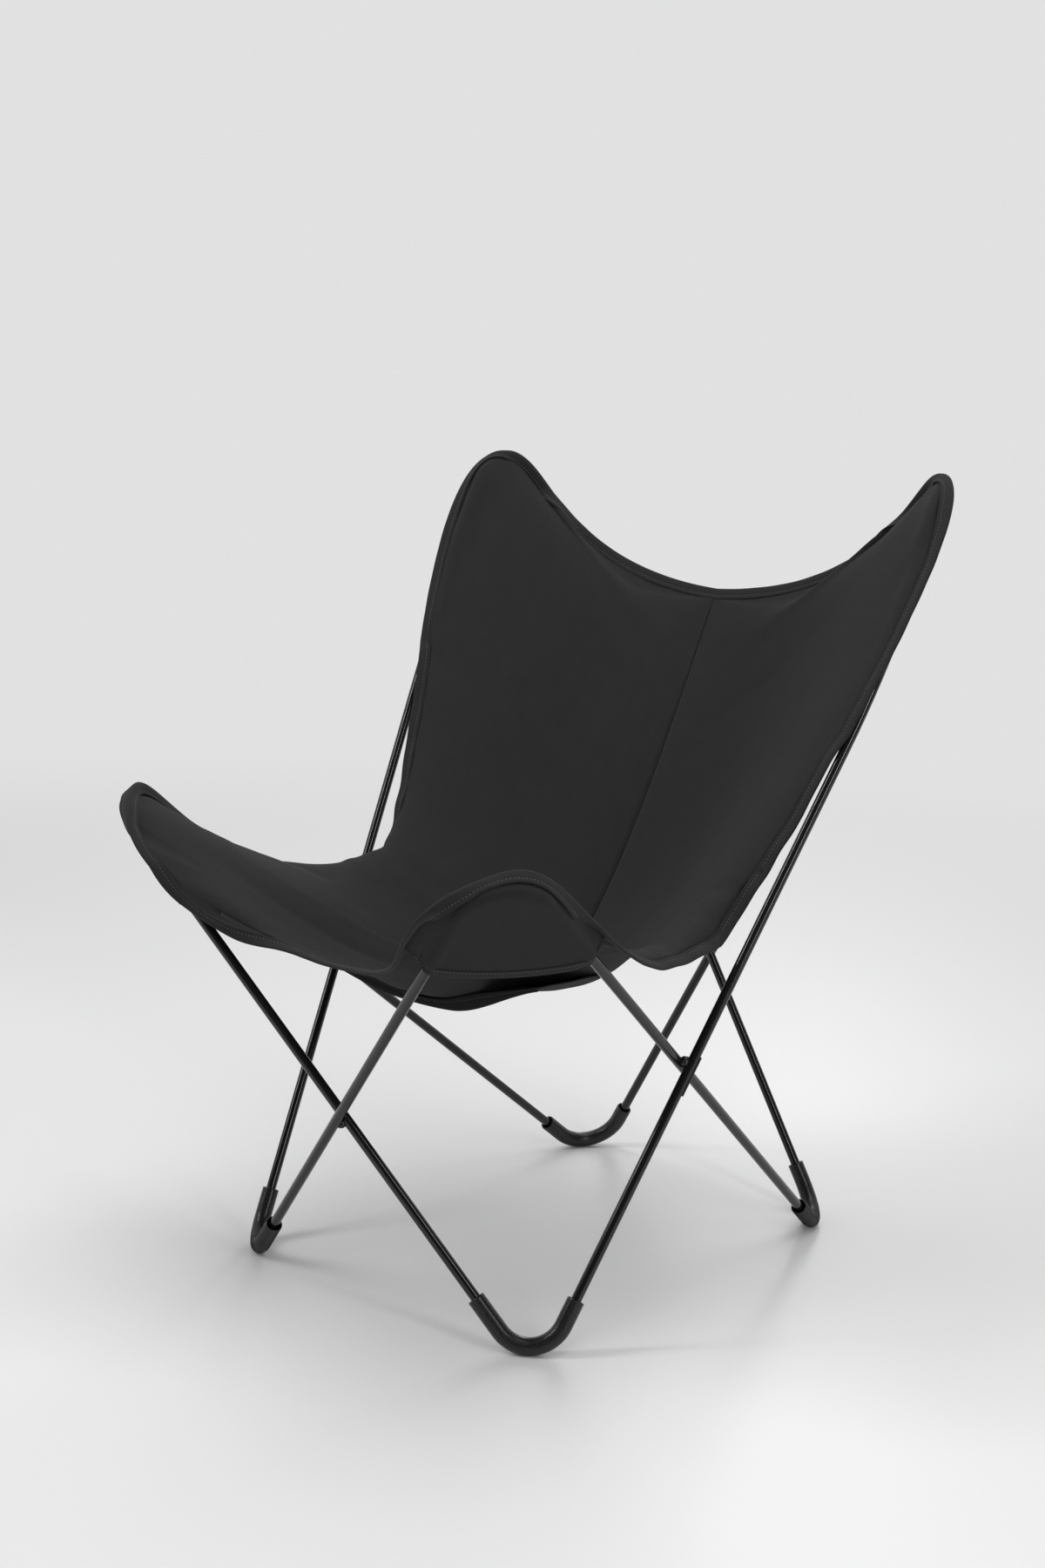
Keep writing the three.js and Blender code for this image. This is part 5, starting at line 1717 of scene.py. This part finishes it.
class FootSleeves:
    """Ribbed plastic sleeves on the four feet."""

    def __init__(self, loops: Sequence[RodLoop], size: SleeveSize) -> None:
        """Args: loops: The rod loops. size: Sleeve sizes."""
        self.size = size
        self.arcs = {
            "sleeve_front_right": (loops[0].front_foot, size.shift),
            "sleeve_front_left": (loops[1].front_foot, size.shift),
            "sleeve_rear_left": (loops[0].rear_foot, -size.shift),
            "sleeve_rear_right": (loops[1].rear_foot, -size.shift),
        }

    def build(self, shop: Workshop, finishes: Finishes, ribs: RibRepeat) -> None:
        """Args: shop: Maker of pieces. finishes: Materials. ribs: The ring group."""
        z = self.size
        for name, (arc, shift) in self.arcs.items():
            rings = self._rings(arc, shift)
            obj = shop.mesh(name + "_hose", rings, ring_mesh(rings, True))
            shop.finish(obj, finishes.sleeve, Slot.SLEEVE, [name])
            places = np.linspace(z.rib_inset, z.length - z.rib_inset, z.rib_steps)
            line = np.array([arc.walk(z.length, d, shift)[0] for d in places])
            ring = ribs.apply(shop, name + "_ribs", [line], {
                "Pitch": z.rib_pitch * MM, "Finish": finishes.sleeve, "Ring Radius": z.rib_ring * MM,
                "Rib Radius": z.rib_radius * MM})
            self._press(ring)
            shop.finish(ring, finishes.sleeve, Slot.SLEEVE)

    def _press(self, obj: bpy.types.Object) -> None:
        """Flattens what would reach below the floor."""
        for vertex in obj.data.vertices:
            vertex.co.z = max(vertex.co.z, self.size.ground * MM)

    def _rings(self, arc: CornerArc, shift: float) -> Points:
        """Rings of the sleeve: outside, mouth, bore and mouth."""
        z = self.size
        angle = np.linspace(0, 2 * math.pi, z.sides, endpoint=False)

        def ring(distance: float, radius: float) -> Points:
            """Args: distance: From the sleeve's start. radius: Of the ring. Returns: Its points."""
            point, tangent = arc.walk(z.length, distance, shift)
            up = np.cross(arc.normal, tangent)
            loop = point + radius * (np.cos(angle)[:, None] * arc.normal + np.sin(angle)[:, None] * up)
            loop[:, 2] = np.maximum(loop[:, 2], z.ground)
            return loop

        rounded, tapered = z.radius - z.lip_step[1], z.mouth - z.mouth_step[1]
        outside = [ring(0.0, z.radius - z.lip), ring(z.lip_step[0], rounded)]
        outside += [ring(d, z.radius) for d in np.linspace(z.lip, z.length - z.lip, z.steps)]
        outside += [ring(z.length - z.lip_step[0], rounded), ring(z.length, z.radius - z.lip)]
        inside = [ring(z.length, z.mouth), ring(z.length - z.mouth_step[0], tapered),
                  ring(z.length - z.mouth_depth, z.bore)]
        inside += [ring(d, z.bore) for d in np.linspace(z.length - z.bore_start, z.bore_start, z.steps // 2)]
        inside += [ring(z.mouth_depth, z.bore), ring(z.mouth_step[0], tapered), ring(0.0, z.mouth)]
        return np.array(outside + inside)


class Sling:
    """The canvas sling: panels, binding, seam, pockets and under layer."""

    RIGHT_FOLDS = (
        Fold((17.5, 0.05), (17.0, 0.32), 13.0, -4.0),
        Fold((19.0, 0.04), (18.6, 0.26), 10.0, -3.0),
        Fold((20.5, 0.04), (20.6, 0.24), 9.0, -2.6),
        Fold((23.0, 0.03), (23.0, 0.22), 10.0, -2.4),
    )
    LEFT_FOLDS = (
        Fold((22.0, 0.04), (21.0, 0.5), 15.0, -4.5),
        Fold((21.0, 0.03), (20.0, 0.3), 9.0, 2.2),
        Fold((18.5, 0.04), (18.2, 0.28), 12.0, -3.0),
    )
    PLACES = ("front_right", "rear_right", "front_left", "rear_left")
    TAPE_SECTION = ((0.0, 0.0), (0.012, 0.8), (0.05, 1.45), (0.12, 1.9), (0.25, 2.1), (0.45, 2.1), (0.6, 1.95),
                    (0.655, 1.7), (0.68, 1.55), (0.705, 1.7), (0.8, 1.95), (0.93, 2.05), (0.985, 1.9), (1.0, 1.5))
    TAPE_CROTCH = ((1.0, 0.05), (0.7, 0.05), (0.4, 0.05), (0.16, 0.05))
    WAVES = ((0.5, 17.0, 1), (0.4, 7.3, 2))
    RUFFLE = (22.5, 2.6, 9.5, 1.6)
    TAPE_ENDS, TAPE_EASE = 30.0, 6
    SEAM_SPAN, SEAM_STEPS = (0.006, 0.994), 420
    SEAM_SECTION = ((-6.5, 0.0), (-6.3, 0.9), (-3.2, 1.1), (-1.3, 1.05), (-0.75, 0.6), (-0.7, -0.5), (0.7, -0.5),
                    (0.75, -1.1), (-3.2, -1.5), (-6.3, -1.1))
    SEAM_STITCHES = ((-4.6, 1.35), (-4.6, -1.45))
    WAVE_SHARES, STRETCH = (0.5, 0.3, 0.7), 0.02
    ALLOWANCE, LONG_ALLOWANCE = 1.02, 1.05

    def __init__(self, loops: Sequence[RodLoop], size: SlingSize, stitch: StitchSize) -> None:
        """Args: loops: The rod loops. size: Sling sizes. stitch: Stitch sizes."""
        self.size, self.stitch = size, stitch
        plain = replace(loops[0].size, bend_steps=20, lean_steps=6)
        self.rods = RodField([RodLoop(loop.side, plain) for loop in loops], size.reach)
        self.seam = SeamLine(size)
        self.halves = [HalfSling(s, loops, self.rods, self.seam, size) for s in (1, -1)]
        for half, folds in zip(self.halves, (self.RIGHT_FOLDS, self.LEFT_FOLDS)):
            half.crease(folds)
        self.under_size = UnderSize()
        self.rows: dict = {}

    def build(self, shop: Workshop, finishes: Finishes, stitches: StitchRepeat) -> None:
        """Args: shop: Maker of pieces. finishes: Materials. stitches: The stitch group."""
        panels = [self._panel(shop, finishes, half) for half in self.halves]
        binding = self._binding(shop, finishes)
        seam = self._seam_strip(shop, finishes)
        pockets = [self._pocket(shop, finishes, half, horn, key, size, name)
                   for half, side in zip(self.halves, ("right", "left"))
                   for horn, key, size, name in ((half.front, 1, FRONT_POCKET, "front_" + side),
                                                 (half.rear, 3, REAR_POCKET, "rear_" + side))]
        under = self._under(shop, finishes)
        threads = {}
        for name, lines in self.rows.items():
            thread = finishes.dark_thread if name == "seam_stitches" else finishes.thread
            obj = stitches.apply(shop, name, lines, {
                "Pitch": self.stitch.pitch * MM, "Finish": thread,
                "Stitch Length": self.stitch.length * MM, "Thread Radius": self.stitch.radius * MM,
                "Jitter": self.stitch.jitter, "Seed": self.stitch.seed})
            threads[name] = shop.finish(obj, thread, Slot.TAPE)
        self._declare(panels, binding, seam, pockets, under, threads)

    def _panel(self, shop: Workshop, finishes: Finishes, half: HalfSling) -> bpy.types.Object:
        """One half's main cloth."""
        side = "right" if half.sign > 0 else "left"
        u = half.sign * row_travel(half.net[:, ::-1])[:, ::-1]
        v = np.repeat((half.seam_share(half.fine.index) * self.seam.length)[:, None], half.net.shape[1], axis=1)
        obj = shop.cloth("canvas_" + side, half.net, half.normals(), self.size.cloth, (u, v))
        return shop.finish(obj, finishes.canvas, Slot.CANVAS, ["sling_panel_" + side], merge=2e-6)

    def _band(self, outer: Points, legs: Sequence[Points], offs: Sequence[Points], width: Points,
              swell: float = 1.0) -> Points:
        """Rings of a folded tape along a line.

        Args:
            outer: Points of its folded edge.
            legs: Directions across its two layers.
            offs: Directions off their faces.
            width: Widths.
            swell: Scale of its thickness.

        Returns:
            The rings.
        """
        section = self.TAPE_SECTION + self.TAPE_CROTCH
        first = [outer + legs[0] * (width * a)[:, None] + offs[0] * b * swell for a, b in section]
        second = [outer + legs[1] * (width * a)[:, None] + offs[1] * b * swell for a, b in section[:0:-1]]
        return np.stack(first + second, axis=1)

    def _wavy(self, layout: EdgeLayout, sign: int) -> tuple:
        """The tape's edge line, a little uneven as sewn tape is."""
        free = 1 - layout.within
        wave = sum(high * np.sin(layout.reach / long + turn * sign) for high, long, turn in self.WAVES)
        ends = smooth(layout.reach / self.TAPE_ENDS) * smooth((layout.reach[-1] - layout.reach) / self.TAPE_ENDS)
        centre, spread, long, high = self.RUFFLE
        waist = np.exp(-((layout.index - centre) / spread) ** 2) * np.sin(layout.reach / long) * high
        half, least, more = self.WAVE_SHARES
        lift = (wave * half + waist) * (least + more * free) * ends
        return layout.points + layout.facing * lift[:, None], layout.width * (1 + self.STRETCH * wave * ends)

    def _binding(self, shop: Workshop, finishes: Finishes) -> bpy.types.Object:
        """Folded tape round the whole edge, with its stitch rows."""
        right, left = (half.fine for half in self.halves)
        lines = [self._wavy(layout, half.sign) for layout, half in zip((right, left), self.halves)]

        def joined(a: Points, b: Points) -> Points:
            """Args: a: Right half's rows. b: Left half's. Returns: Both as one closed row."""
            return np.concatenate([a, b[-2:0:-1]])

        outer, width = joined(lines[0][0], lines[1][0]), joined(lines[0][1], lines[1][1])
        legs = [steadied(joined(right.leg(side), left.leg(side)), self.TAPE_EASE, True) for side in (1, -1)]
        offs = [steadied(joined(right.off(side), left.off(side)), self.TAPE_EASE, True) for side in (1, -1)]
        rings = self._band(outer, legs, offs, width)
        uv = self._ring_uv(rings)
        obj = shop.mesh("edge_tape", rings, ring_mesh(rings, True), uv)
        for leg, off, name in zip(legs, offs, ("edge_stitches_inside", "edge_stitches_outside")):
            line = outer + leg * (width * self.stitch.share)[:, None] + off * self.stitch.height
            self.rows[name] = [np.concatenate([line, line[:1]])]
        return shop.finish(obj, finishes.tape, Slot.TAPE, ["edge_binding"])

    @staticmethod
    def _ring_uv(rings: Points) -> Points:
        """UV in metres for rings of points: along the row, and round each ring."""
        grid = np.meshgrid(travelled(rings[:, 0]), travelled(rings[0]), indexing="ij")
        return np.stack(grid, axis=-1).reshape(-1, 2) * MM

    def _seam_strip(self, shop: Workshop, finishes: Finishes) -> bpy.types.Object:
        """Felled centre seam: a low fold of cloth on the seam line."""
        line = self.seam.at(np.linspace(*self.SEAM_SPAN, self.SEAM_STEPS))
        tangent = unit(np.gradient(line, axis=0))
        facing = np.cross([1.0, 0.0, 0.0], tangent)
        facing = facing * np.sign(facing[:, 2:3] + 1e-9)
        side = np.array([1.0, 0.0, 0.0])
        rings = np.stack([line + side * a + facing * b for a, b in self.SEAM_SECTION], axis=1)
        obj = shop.mesh("centre_seam", rings, ring_mesh(rings, False), self._ring_uv(rings))
        self.rows["seam_stitches"] = [line + side * a + facing * b for a, b in self.SEAM_STITCHES]
        return shop.finish(obj, finishes.canvas, Slot.CANVAS)

    def _pocket(self, shop: Workshop, finishes: Finishes, half: HalfSling, horn: Horn, key: int,
                size: PocketSize, name: str) -> tuple:
        """A corner pocket and its hem."""
        grid, outside = self._pocket_grid(half, horn, key, size)
        across = np.gradient(grid, axis=0)
        down = np.gradient(grid, axis=1)
        normal = unit(np.cross(across, down))
        normal[0], normal[-1] = normal[1], normal[-2]
        normal = normal * np.sign(np.sum(normal[len(normal) // 2, -1] * outside))
        along, depth = travelled(grid[:, 0]), row_travel(grid)
        uv = np.repeat(along[:, None], grid.shape[1], axis=1), depth
        obj = shop.cloth("corner_" + name, grid, normal, self.size.cloth, uv)
        wall = shop.finish(obj, finishes.canvas, Slot.CANVAS, ["pocket_" + name], merge=2e-6)
        ends = grid[2:-2, -1]
        tangent = unit(np.gradient(ends, axis=0))
        fall = unit(grid[2:-2, -1] - grid[2:-2, -3])
        fall = steadied(unit(fall - tangent * dot(fall, tangent)), size.fall_rounds, False)
        facing = unit(np.cross(tangent, fall))
        facing = facing * np.sign(dot(facing, outside))
        width = size.hem + size.lap
        far = self.rods.clear(ends + fall * size.hem, np.repeat(outside[None], len(ends), axis=0), size.clear)
        fall = unit(far - ends)
        top = ends - fall * size.lap + facing * size.stand
        rings = self._band(top + fall * width, (-fall, -fall), (facing, -facing), np.full(len(ends), width),
                           size.swell)
        hem = shop.mesh("corner_hem_" + name, rings, ring_mesh(rings, False), self._ring_uv(rings))
        hem = shop.finish(hem, finishes.tape, Slot.TAPE, ["pocket_hem_" + name])
        self.rows["hem_stitches_" + name] = [top + fall * width * (1 - self.stitch.share)
                                             + facing * size.stitch_height]
        return wall, hem, (float(along[-1]) * MM, float(depth.max()) * MM), cloth_area(grid) * MM * MM

    def _pocket_grid(self, half: HalfSling, horn: Horn, key: int, size: PocketSize) -> tuple:
        """Rays of the pocket's cloth, from the edge round the rod to the hem."""
        z, layout = self.size, half.fine
        tip = half.tip_reach(key)
        outside = -horn.inside
        shares = np.linspace(0, 1, size.steps + 1)
        reach = tip - size.before + shares * (size.before + size.after)
        point, width = layout.read("points", reach), layout.read("width", reach)
        inward, face = unit(layout.read("inward", reach)), unit(layout.read("facing", reach))
        split = layout.read("split", reach)[:, None]
        near, dist, direction = self.rods.nearest(point)
        radial = unit(point - near)
        turn = unit(np.cross(radial, direction))
        turn = turn * np.sign(dot(turn, outside))
        close = 1 - smooth((dist - z.near) / (z.far - z.near))
        face = face * np.sign(dot(face, outside + turn * close[:, None]))
        rim = point + (inward * np.cos(split) + face * np.sin(split)) * (width * size.rim)[:, None]
        rim = rim + face * size.stand
        dip = float(np.linalg.norm(rim[0] - rim[-1])) * size.dip
        base = rim[0] + (rim[-1] - rim[0]) * shares[:, None]
        base = base - horn.out * (dip * 4 * shares * (1 - shares))[:, None]
        level = (base - horn.arc.apex) @ outside
        depth = np.maximum(level, size.clear)
        ease = smooth(size.level_ease * np.minimum(shares, 1 - shares))
        base = base + outside * ((depth - level) * ease)[:, None]
        spread = np.repeat(outside[None], len(base), axis=0)
        end = evened(self.rods.clear(base, spread, size.clear), size.hem_rounds)
        under = unit(radial * close[:, None] + outside)
        whole = np.maximum(2 * z.wrap_start, np.arccos(np.clip(radial @ outside, -1, 1)))
        rays = [rim]
        for k in range(size.wraps + 1):
            share = k / size.wraps
            angle = (z.wrap_start + (whole - z.wrap_start) * share)[:, None]
            straight = rim + (end - rim) * (size.rays[0] + size.rays[1] * share)
            wound = near + size.clear * (radial * np.cos(angle) + turn * np.sin(angle))
            placed = straight + (wound - straight) * close[:, None]
            rays.append(self.rods.clear(placed, under, size.clear) if k > 0 else placed)
        low = rays[-1]
        for k in range(1, size.rows):
            rays.append(self.rods.clear(low + (end - low) * k / size.rows, spread, size.clear))
        rays.append(end)
        grid = np.stack(rays, axis=1)
        grid[0], grid[-1] = rim[0], rim[-1]
        return self._settle(grid, spread, size), outside

    def _settle(self, grid: Points, spread: Points, size: PocketSize) -> Points:
        """Smooths the pocket's cloth and lifts it off the rods again."""
        wraps = size.wraps + 1
        before, span, most = size.settle
        weight = smooth((np.arange(1, grid.shape[1] - 1) - wraps + before) / span)[None, :, None] * most
        for _ in range(size.settle_rounds):
            inner = (grid[:-2, 1:-1] + grid[2:, 1:-1] + grid[1:-1, :-2] + grid[1:-1, 2:]) / 4
            fresh = grid.copy()
            fresh[1:-1, 1:-1] = grid[1:-1, 1:-1] * (1 - weight) + inner * weight
            directions = np.repeat(spread[1:-1, None], inner.shape[1] - wraps + 1, axis=1)
            part = fresh[1:-1, wraps:-1]
            part = self.rods.clear(part.reshape(-1, 3), directions[:, :part.shape[1]].reshape(-1, 3), size.clear)
            fresh[1:-1, wraps:-1] = part.reshape(fresh[1:-1, wraps:-1].shape)
            grid = fresh
        return grid

    def _under(self, shop: Workshop, finishes: Finishes) -> tuple:
        """Second cloth layer under the seat, free at its hemmed front."""
        z = self.under_size
        trees = []
        for half in self.halves:
            rows, columns = half.net.shape[:2]
            trees.append(BVHTree.FromPolygons(half.net.reshape(-1, 3).tolist(), grid_faces(rows, columns)))

        def seat(x: float, y: float) -> float:
            """Args: x, y: Place on the floor. Returns: Height of the seat above it."""
            tree = trees[0 if x >= 0 else 1]
            aside = max(abs(x), 0.6) * (1 if x >= 0 else -1)
            hit = tree.ray_cast(Vector((aside, y, 0.0)), Vector((0.0, 0.0, 1.0)))[0]
            return hit.z if hit else math.nan

        share = np.linspace(0, 1, z.rows)
        across = np.linspace(-1, 1, z.columns + 1)
        y = -z.front + (z.front - z.back) * share[:, None] * np.ones_like(across)[None]
        half_width = z.front_half + (z.back_half - z.front_half) * share
        x = half_width[:, None] * across[None]
        top = np.array([[seat(a, b) for a, b in zip(p, q)] for p, q in zip(x, y)])
        top = np.where(np.isnan(top), np.nanmax(top), top) - z.drop
        free = z.hem_bottom + z.hem + z.hem_rise * ((x[0] - z.hem_shift) / z.hem_span) ** 2
        low = np.minimum(top[0], free + z.hem_lift)
        for _ in range(z.rounds):
            low[1:-1] = np.minimum(top[0, 1:-1], (low[:-2] + 2 * low[1:-1] + low[2:]) / 4)
        lift = np.clip(low - free, -z.hem_lift, z.hem_lift)
        sag = (top[0] - low)[None] * ((1 - share) ** z.hang)[:, None]
        points = np.stack([x, y, top - sag], axis=-1)
        normal = unit(np.cross(np.gradient(points, axis=1), np.gradient(points, axis=0)))
        obj = shop.cloth("under_layer", points, normal, self.size.cloth, (x, y))
        layer = shop.finish(obj, finishes.lining, Slot.CANVAS, ["underseat_panel"])
        line = points[0] + z.hem_step
        down = np.repeat(unit(np.array([0.0, -z.lean, -z.hem]))[None], len(line), axis=0)
        facing = np.repeat(unit(np.cross([1.0, 0.0, 0.0], down[0]))[None], len(line), axis=0)
        facing = facing * -np.sign(facing[0, 1])
        share, start, span = z.slim
        width = (z.hem + lift + z.lap) * (1 - share * smooth((np.abs(x[0]) - start) / span))
        rings = self._band(line + down * width[:, None], (-down, -down), (facing, -facing), width, z.swell)
        hem = shop.mesh("under_hem", rings, ring_mesh(rings, False), self._ring_uv(rings))
        hem = shop.finish(hem, finishes.lining, Slot.TAPE, ["underseat_hem"])
        self.rows["under_stitches"] = [line + down * (width * z.stitch_share)[:, None] + facing * z.stitch_height]
        depth = float(row_travel(points.transpose(1, 0, 2)).max()) * MM
        return layer, hem, (float(travelled(points[0])[-1]) * MM, depth), cloth_area(points) * MM * MM

    def _declare(self, panels: list, binding: bpy.types.Object, seam: bpy.types.Object, pockets: list,
                 under: tuple, threads: dict) -> None:
        """Declares each cloth with its flat size."""
        loops = ["rod_loop_front_right_foot", "rod_loop_front_left_foot"]
        extra = [[binding, threads["edge_stitches_inside"], threads["edge_stitches_outside"]],
                 [seam, threads["seam_stitches"]]]
        cloths = []
        for half, panel, pieces in zip(self.halves, panels, extra):
            wide, long, area = half.flat_size()
            box = (wide * self.ALLOWANCE, max(long, area / wide * self.LONG_ALLOWANCE))
            cloths.append((panel, box, area, loops, pieces))
        for (wall, hem, (wide, deep), area), place in zip(pockets, self.PLACES):
            box = (wide, max(deep, area / wide * self.ALLOWANCE))
            cloths.append((wall, box, area, loops, [hem, threads["hem_stitches_" + place]]))
        layer, hem, (wide, deep), area = under
        box = (wide, max(deep, area / wide * self.ALLOWANCE))
        cloths.append((layer, box, area, [p.name for p in panels], [hem, threads["under_stitches"]]))
        for piece, box, area, rests_on, pieces in cloths:
            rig.sheet(piece, flat=box, held="hung", rests_on=rests_on, with_pieces=pieces, area=area)
            log.info("%s: cut %.3f by %.3f m, area %.4f", piece.name, *box, area)


# Studio


@dataclass(frozen=True)
class CameraSize:
    """Place and turn of the camera, in design millimetres and degrees."""

    position: tuple = (1706.16, -2067.48, 1025.54)
    azimuth: float = 41.08
    elevation: float = 9.34
    roll: float = 2.47
    focal_pixels: float = 2502.0
    long_side: float = 1800.0
    sensor: float = 36.0


@dataclass(frozen=True)
class SoftBox:
    """A rectangular light that looks at a point, in metres and watts."""

    name: str
    place: tuple
    aim: tuple
    size: tuple
    power: float


class Studio:
    """Camera, floor, background and lights."""

    BACKDROP = (0.755, 0.755, 0.755, 1.0)
    FLOOR_COLOUR = (0.73, 0.73, 0.725, 1.0)
    FLOOR_RADIUS = 14.0
    FADE = (1.2, 4.2)
    FILL = {"Color": (0.98, 0.99, 1.0, 1.0), "Strength": 0.45}
    DARKNESS = {"From Min": -0.2, "From Max": 0.6, "To Min": 0.08, "To Max": 1.0}
    BOXES = (
        SoftBox("key_light", (-1.9, -2.6, 2.9), (0.0, 0.0, 0.5), (0.5, 2.2), 48.0),
        SoftBox("top_light", (0.2, 0.1, 3.6), (0.0, 0.0, 0.4), (2.6, 2.6), 64.0),
        SoftBox("side_light", (3.0, -0.6, 1.7), (0.0, 0.0, 0.5), (0.35, 2.2), 24.0),
        SoftBox("back_light", (-1.6, 3.0, 2.2), (0.0, 0.0, 0.5), (0.5, 2.0), 22.0),
    )

    def __init__(self, shift: Points, camera: CameraSize) -> None:
        """Args: shift: From design coordinates to the row frame, in millimetres. camera: Camera sizes."""
        self.shift, self.size = shift, camera

    def build(self) -> None:
        """Makes everything in the studio."""
        self._camera()
        self._floor()
        self._world()
        for box in self.BOXES:
            self._light(box)
        bpy.context.scene.view_settings.view_transform = "Standard"

    def _camera(self) -> None:
        """The camera at the photograph's viewing angle."""
        z = self.size
        az, el, roll = (math.radians(v) for v in (z.azimuth, z.elevation, z.roll))
        ahead = Vector((-math.sin(az) * math.cos(el), math.cos(az) * math.cos(el), -math.sin(el)))
        level = Vector((math.cos(az), math.sin(az), 0.0))
        raised = level.cross(ahead)
        right = level * math.cos(roll) + raised * math.sin(roll)
        up = raised * math.cos(roll) - level * math.sin(roll)
        data = bpy.data.cameras.new("camera")
        data.sensor_width = z.sensor
        data.lens = z.focal_pixels * z.sensor / z.long_side
        camera = bpy.data.objects.new("camera", data)
        turn = Matrix((right, up, -ahead)).transposed().to_4x4()
        place = (np.array(z.position) + self.shift) * MM
        camera.matrix_world = Matrix.Translation(Vector(place)) @ turn
        bpy.context.scene.collection.objects.link(camera)
        bpy.context.scene.camera = camera

    def _floor(self) -> None:
        """Pale floor that fades into the background."""
        work = bmesh.new()
        bmesh.ops.create_circle(work, cap_ends=True, segments=96, radius=self.FLOOR_RADIUS)
        mesh = bpy.data.meshes.new("floor")
        work.to_mesh(mesh)
        work.free()
        floor = bpy.data.objects.new("floor", mesh)
        bpy.context.scene.collection.objects.link(floor)
        material, tree, shader = new_material("pale_floor", {
            "Base Color": self.FLOOR_COLOUR, "Roughness": 0.45, "Specular IOR Level": 0.25})
        place, length = tree.node("ShaderNodeTexCoord"), tree.node("ShaderNodeVectorMath", operation="LENGTH")
        fade = tree.node("ShaderNodeMapRange", {"From Min": self.FADE[0], "From Max": self.FADE[1]},
                         interpolation_type="SMOOTHSTEP")
        glow, mix = tree.node("ShaderNodeEmission", {"Color": self.BACKDROP}), tree.node("ShaderNodeMixShader")
        tree.chain((place, "Object", length, 0), (length, "Value", fade, "Value"), (fade, "Result", mix, 0),
                   (shader, 0, mix, 1), (glow, 0, mix, 2), (mix, 0, tree.tree.nodes["Material Output"], "Surface"))
        mesh.materials.append(material)
        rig.stage(floor)

    def _world(self) -> None:
        """Pale background for the camera and for reflections, and dimmer fill for the rest."""
        world = bpy.data.worlds.new("studio")
        world.use_nodes = True
        bpy.context.scene.world = world
        tree, nodes = Tree(world.node_tree), world.node_tree.nodes
        pale, fill = nodes["Background"], tree.node("ShaderNodeBackground", self.FILL)
        pale.inputs["Color"].default_value = self.BACKDROP
        path, mix = tree.node("ShaderNodeLightPath"), tree.node("ShaderNodeMixShader")
        seen, mirrored, passed = (path.outputs["Is %s Ray" % ray] for ray in ("Camera", "Glossy", "Transmission"))
        tree.wire(self._dark_side(tree, seen), pale.inputs["Strength"])
        tree.wire(tree.math("MAXIMUM", tree.math("MAXIMUM", seen, mirrored), passed), mix.inputs[0])
        tree.chain((fill, 0, mix, 1), (pale, 0, mix, 2), (mix, 0, nodes["World Output"], "Surface"))

    def _dark_side(self, tree: Tree, seen: bpy.types.NodeSocket) -> bpy.types.NodeSocket:
        """Strength that leaves the camera's side of the studio dark in reflections, as a darkened room is."""
        turn = math.radians(self.size.azimuth)
        way = tree.node("ShaderNodeNewGeometry")
        toward = tree.node("ShaderNodeVectorMath", operation="DOT_PRODUCT")
        toward.inputs[1].default_value = (math.sin(turn), -math.cos(turn), 0.0)
        span = tree.node("ShaderNodeMapRange", self.DARKNESS)
        tree.chain((way, "Incoming", toward, 0), (toward, "Value", span, "Value"))
        return tree.math("MAXIMUM", span.outputs["Result"], seen)

    def _light(self, box: SoftBox) -> None:
        """One soft light."""
        data = bpy.data.lights.new(box.name, "AREA")
        data.shape = "RECTANGLE"
        data.size, data.size_y = box.size
        data.energy = box.power
        light = bpy.data.objects.new(box.name, data)
        light.location = box.place
        ahead = Vector(box.aim) - Vector(box.place)
        light.rotation_euler = ahead.to_track_quat("-Z", "Y").to_euler()
        bpy.context.scene.collection.objects.link(light)
        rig.stage(light)


def row_shift(loop: RodLoop) -> Points:
    """Shift from design coordinates to the row frame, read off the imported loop.

    Args:
        loop: The loop whose front foot is at +X, unshifted.

    Returns:
        The shift in millimetres.
    """
    low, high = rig.box("frame_loop_front_right_foot")
    middle = (np.array(low) + np.array(high)) / 2 / MM
    own = (loop.points.min(axis=0) + loop.points.max(axis=0)) / 2
    return np.array([middle[0] - own[0], middle[1] - own[1], 0.0])


def write_size(stage: str) -> None:
    """Args:
        stage: "loaded" or "finished".
    """
    path = "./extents.json"
    low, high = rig.bounds()
    sizes = {}
    if stage == "finished":
        with open(path, encoding="utf8") as file:
            sizes = json.load(file)
    sizes[stage] = [list(low), list(high)]
    with open(path, "w", encoding="utf8") as file:
        json.dump(sizes, file)
    log.info("%s: low %s, high %s", stage, *(["%.4f" % v for v in p] for p in (low, high)))


def main() -> None:
    """Builds the chair's looks and the studio."""
    write_size("loaded")
    rods = RodFrame(FrameSize(), WeldSize())
    shift = row_shift(rods.loops[0])
    log.info("shift: %s mm", np.round(shift, 3))
    shop, finishes = Workshop(shift), Finishes()
    rods.build(shop, finishes)
    FootSleeves(rods.loops, SleeveSize()).build(shop, finishes, RibRepeat())
    Sling(rods.loops, SlingSize(), StitchSize()).build(shop, finishes, StitchRepeat())
    Studio(shift, CameraSize()).build()
    write_size("finished")


if __name__ == "__main__":
    main()
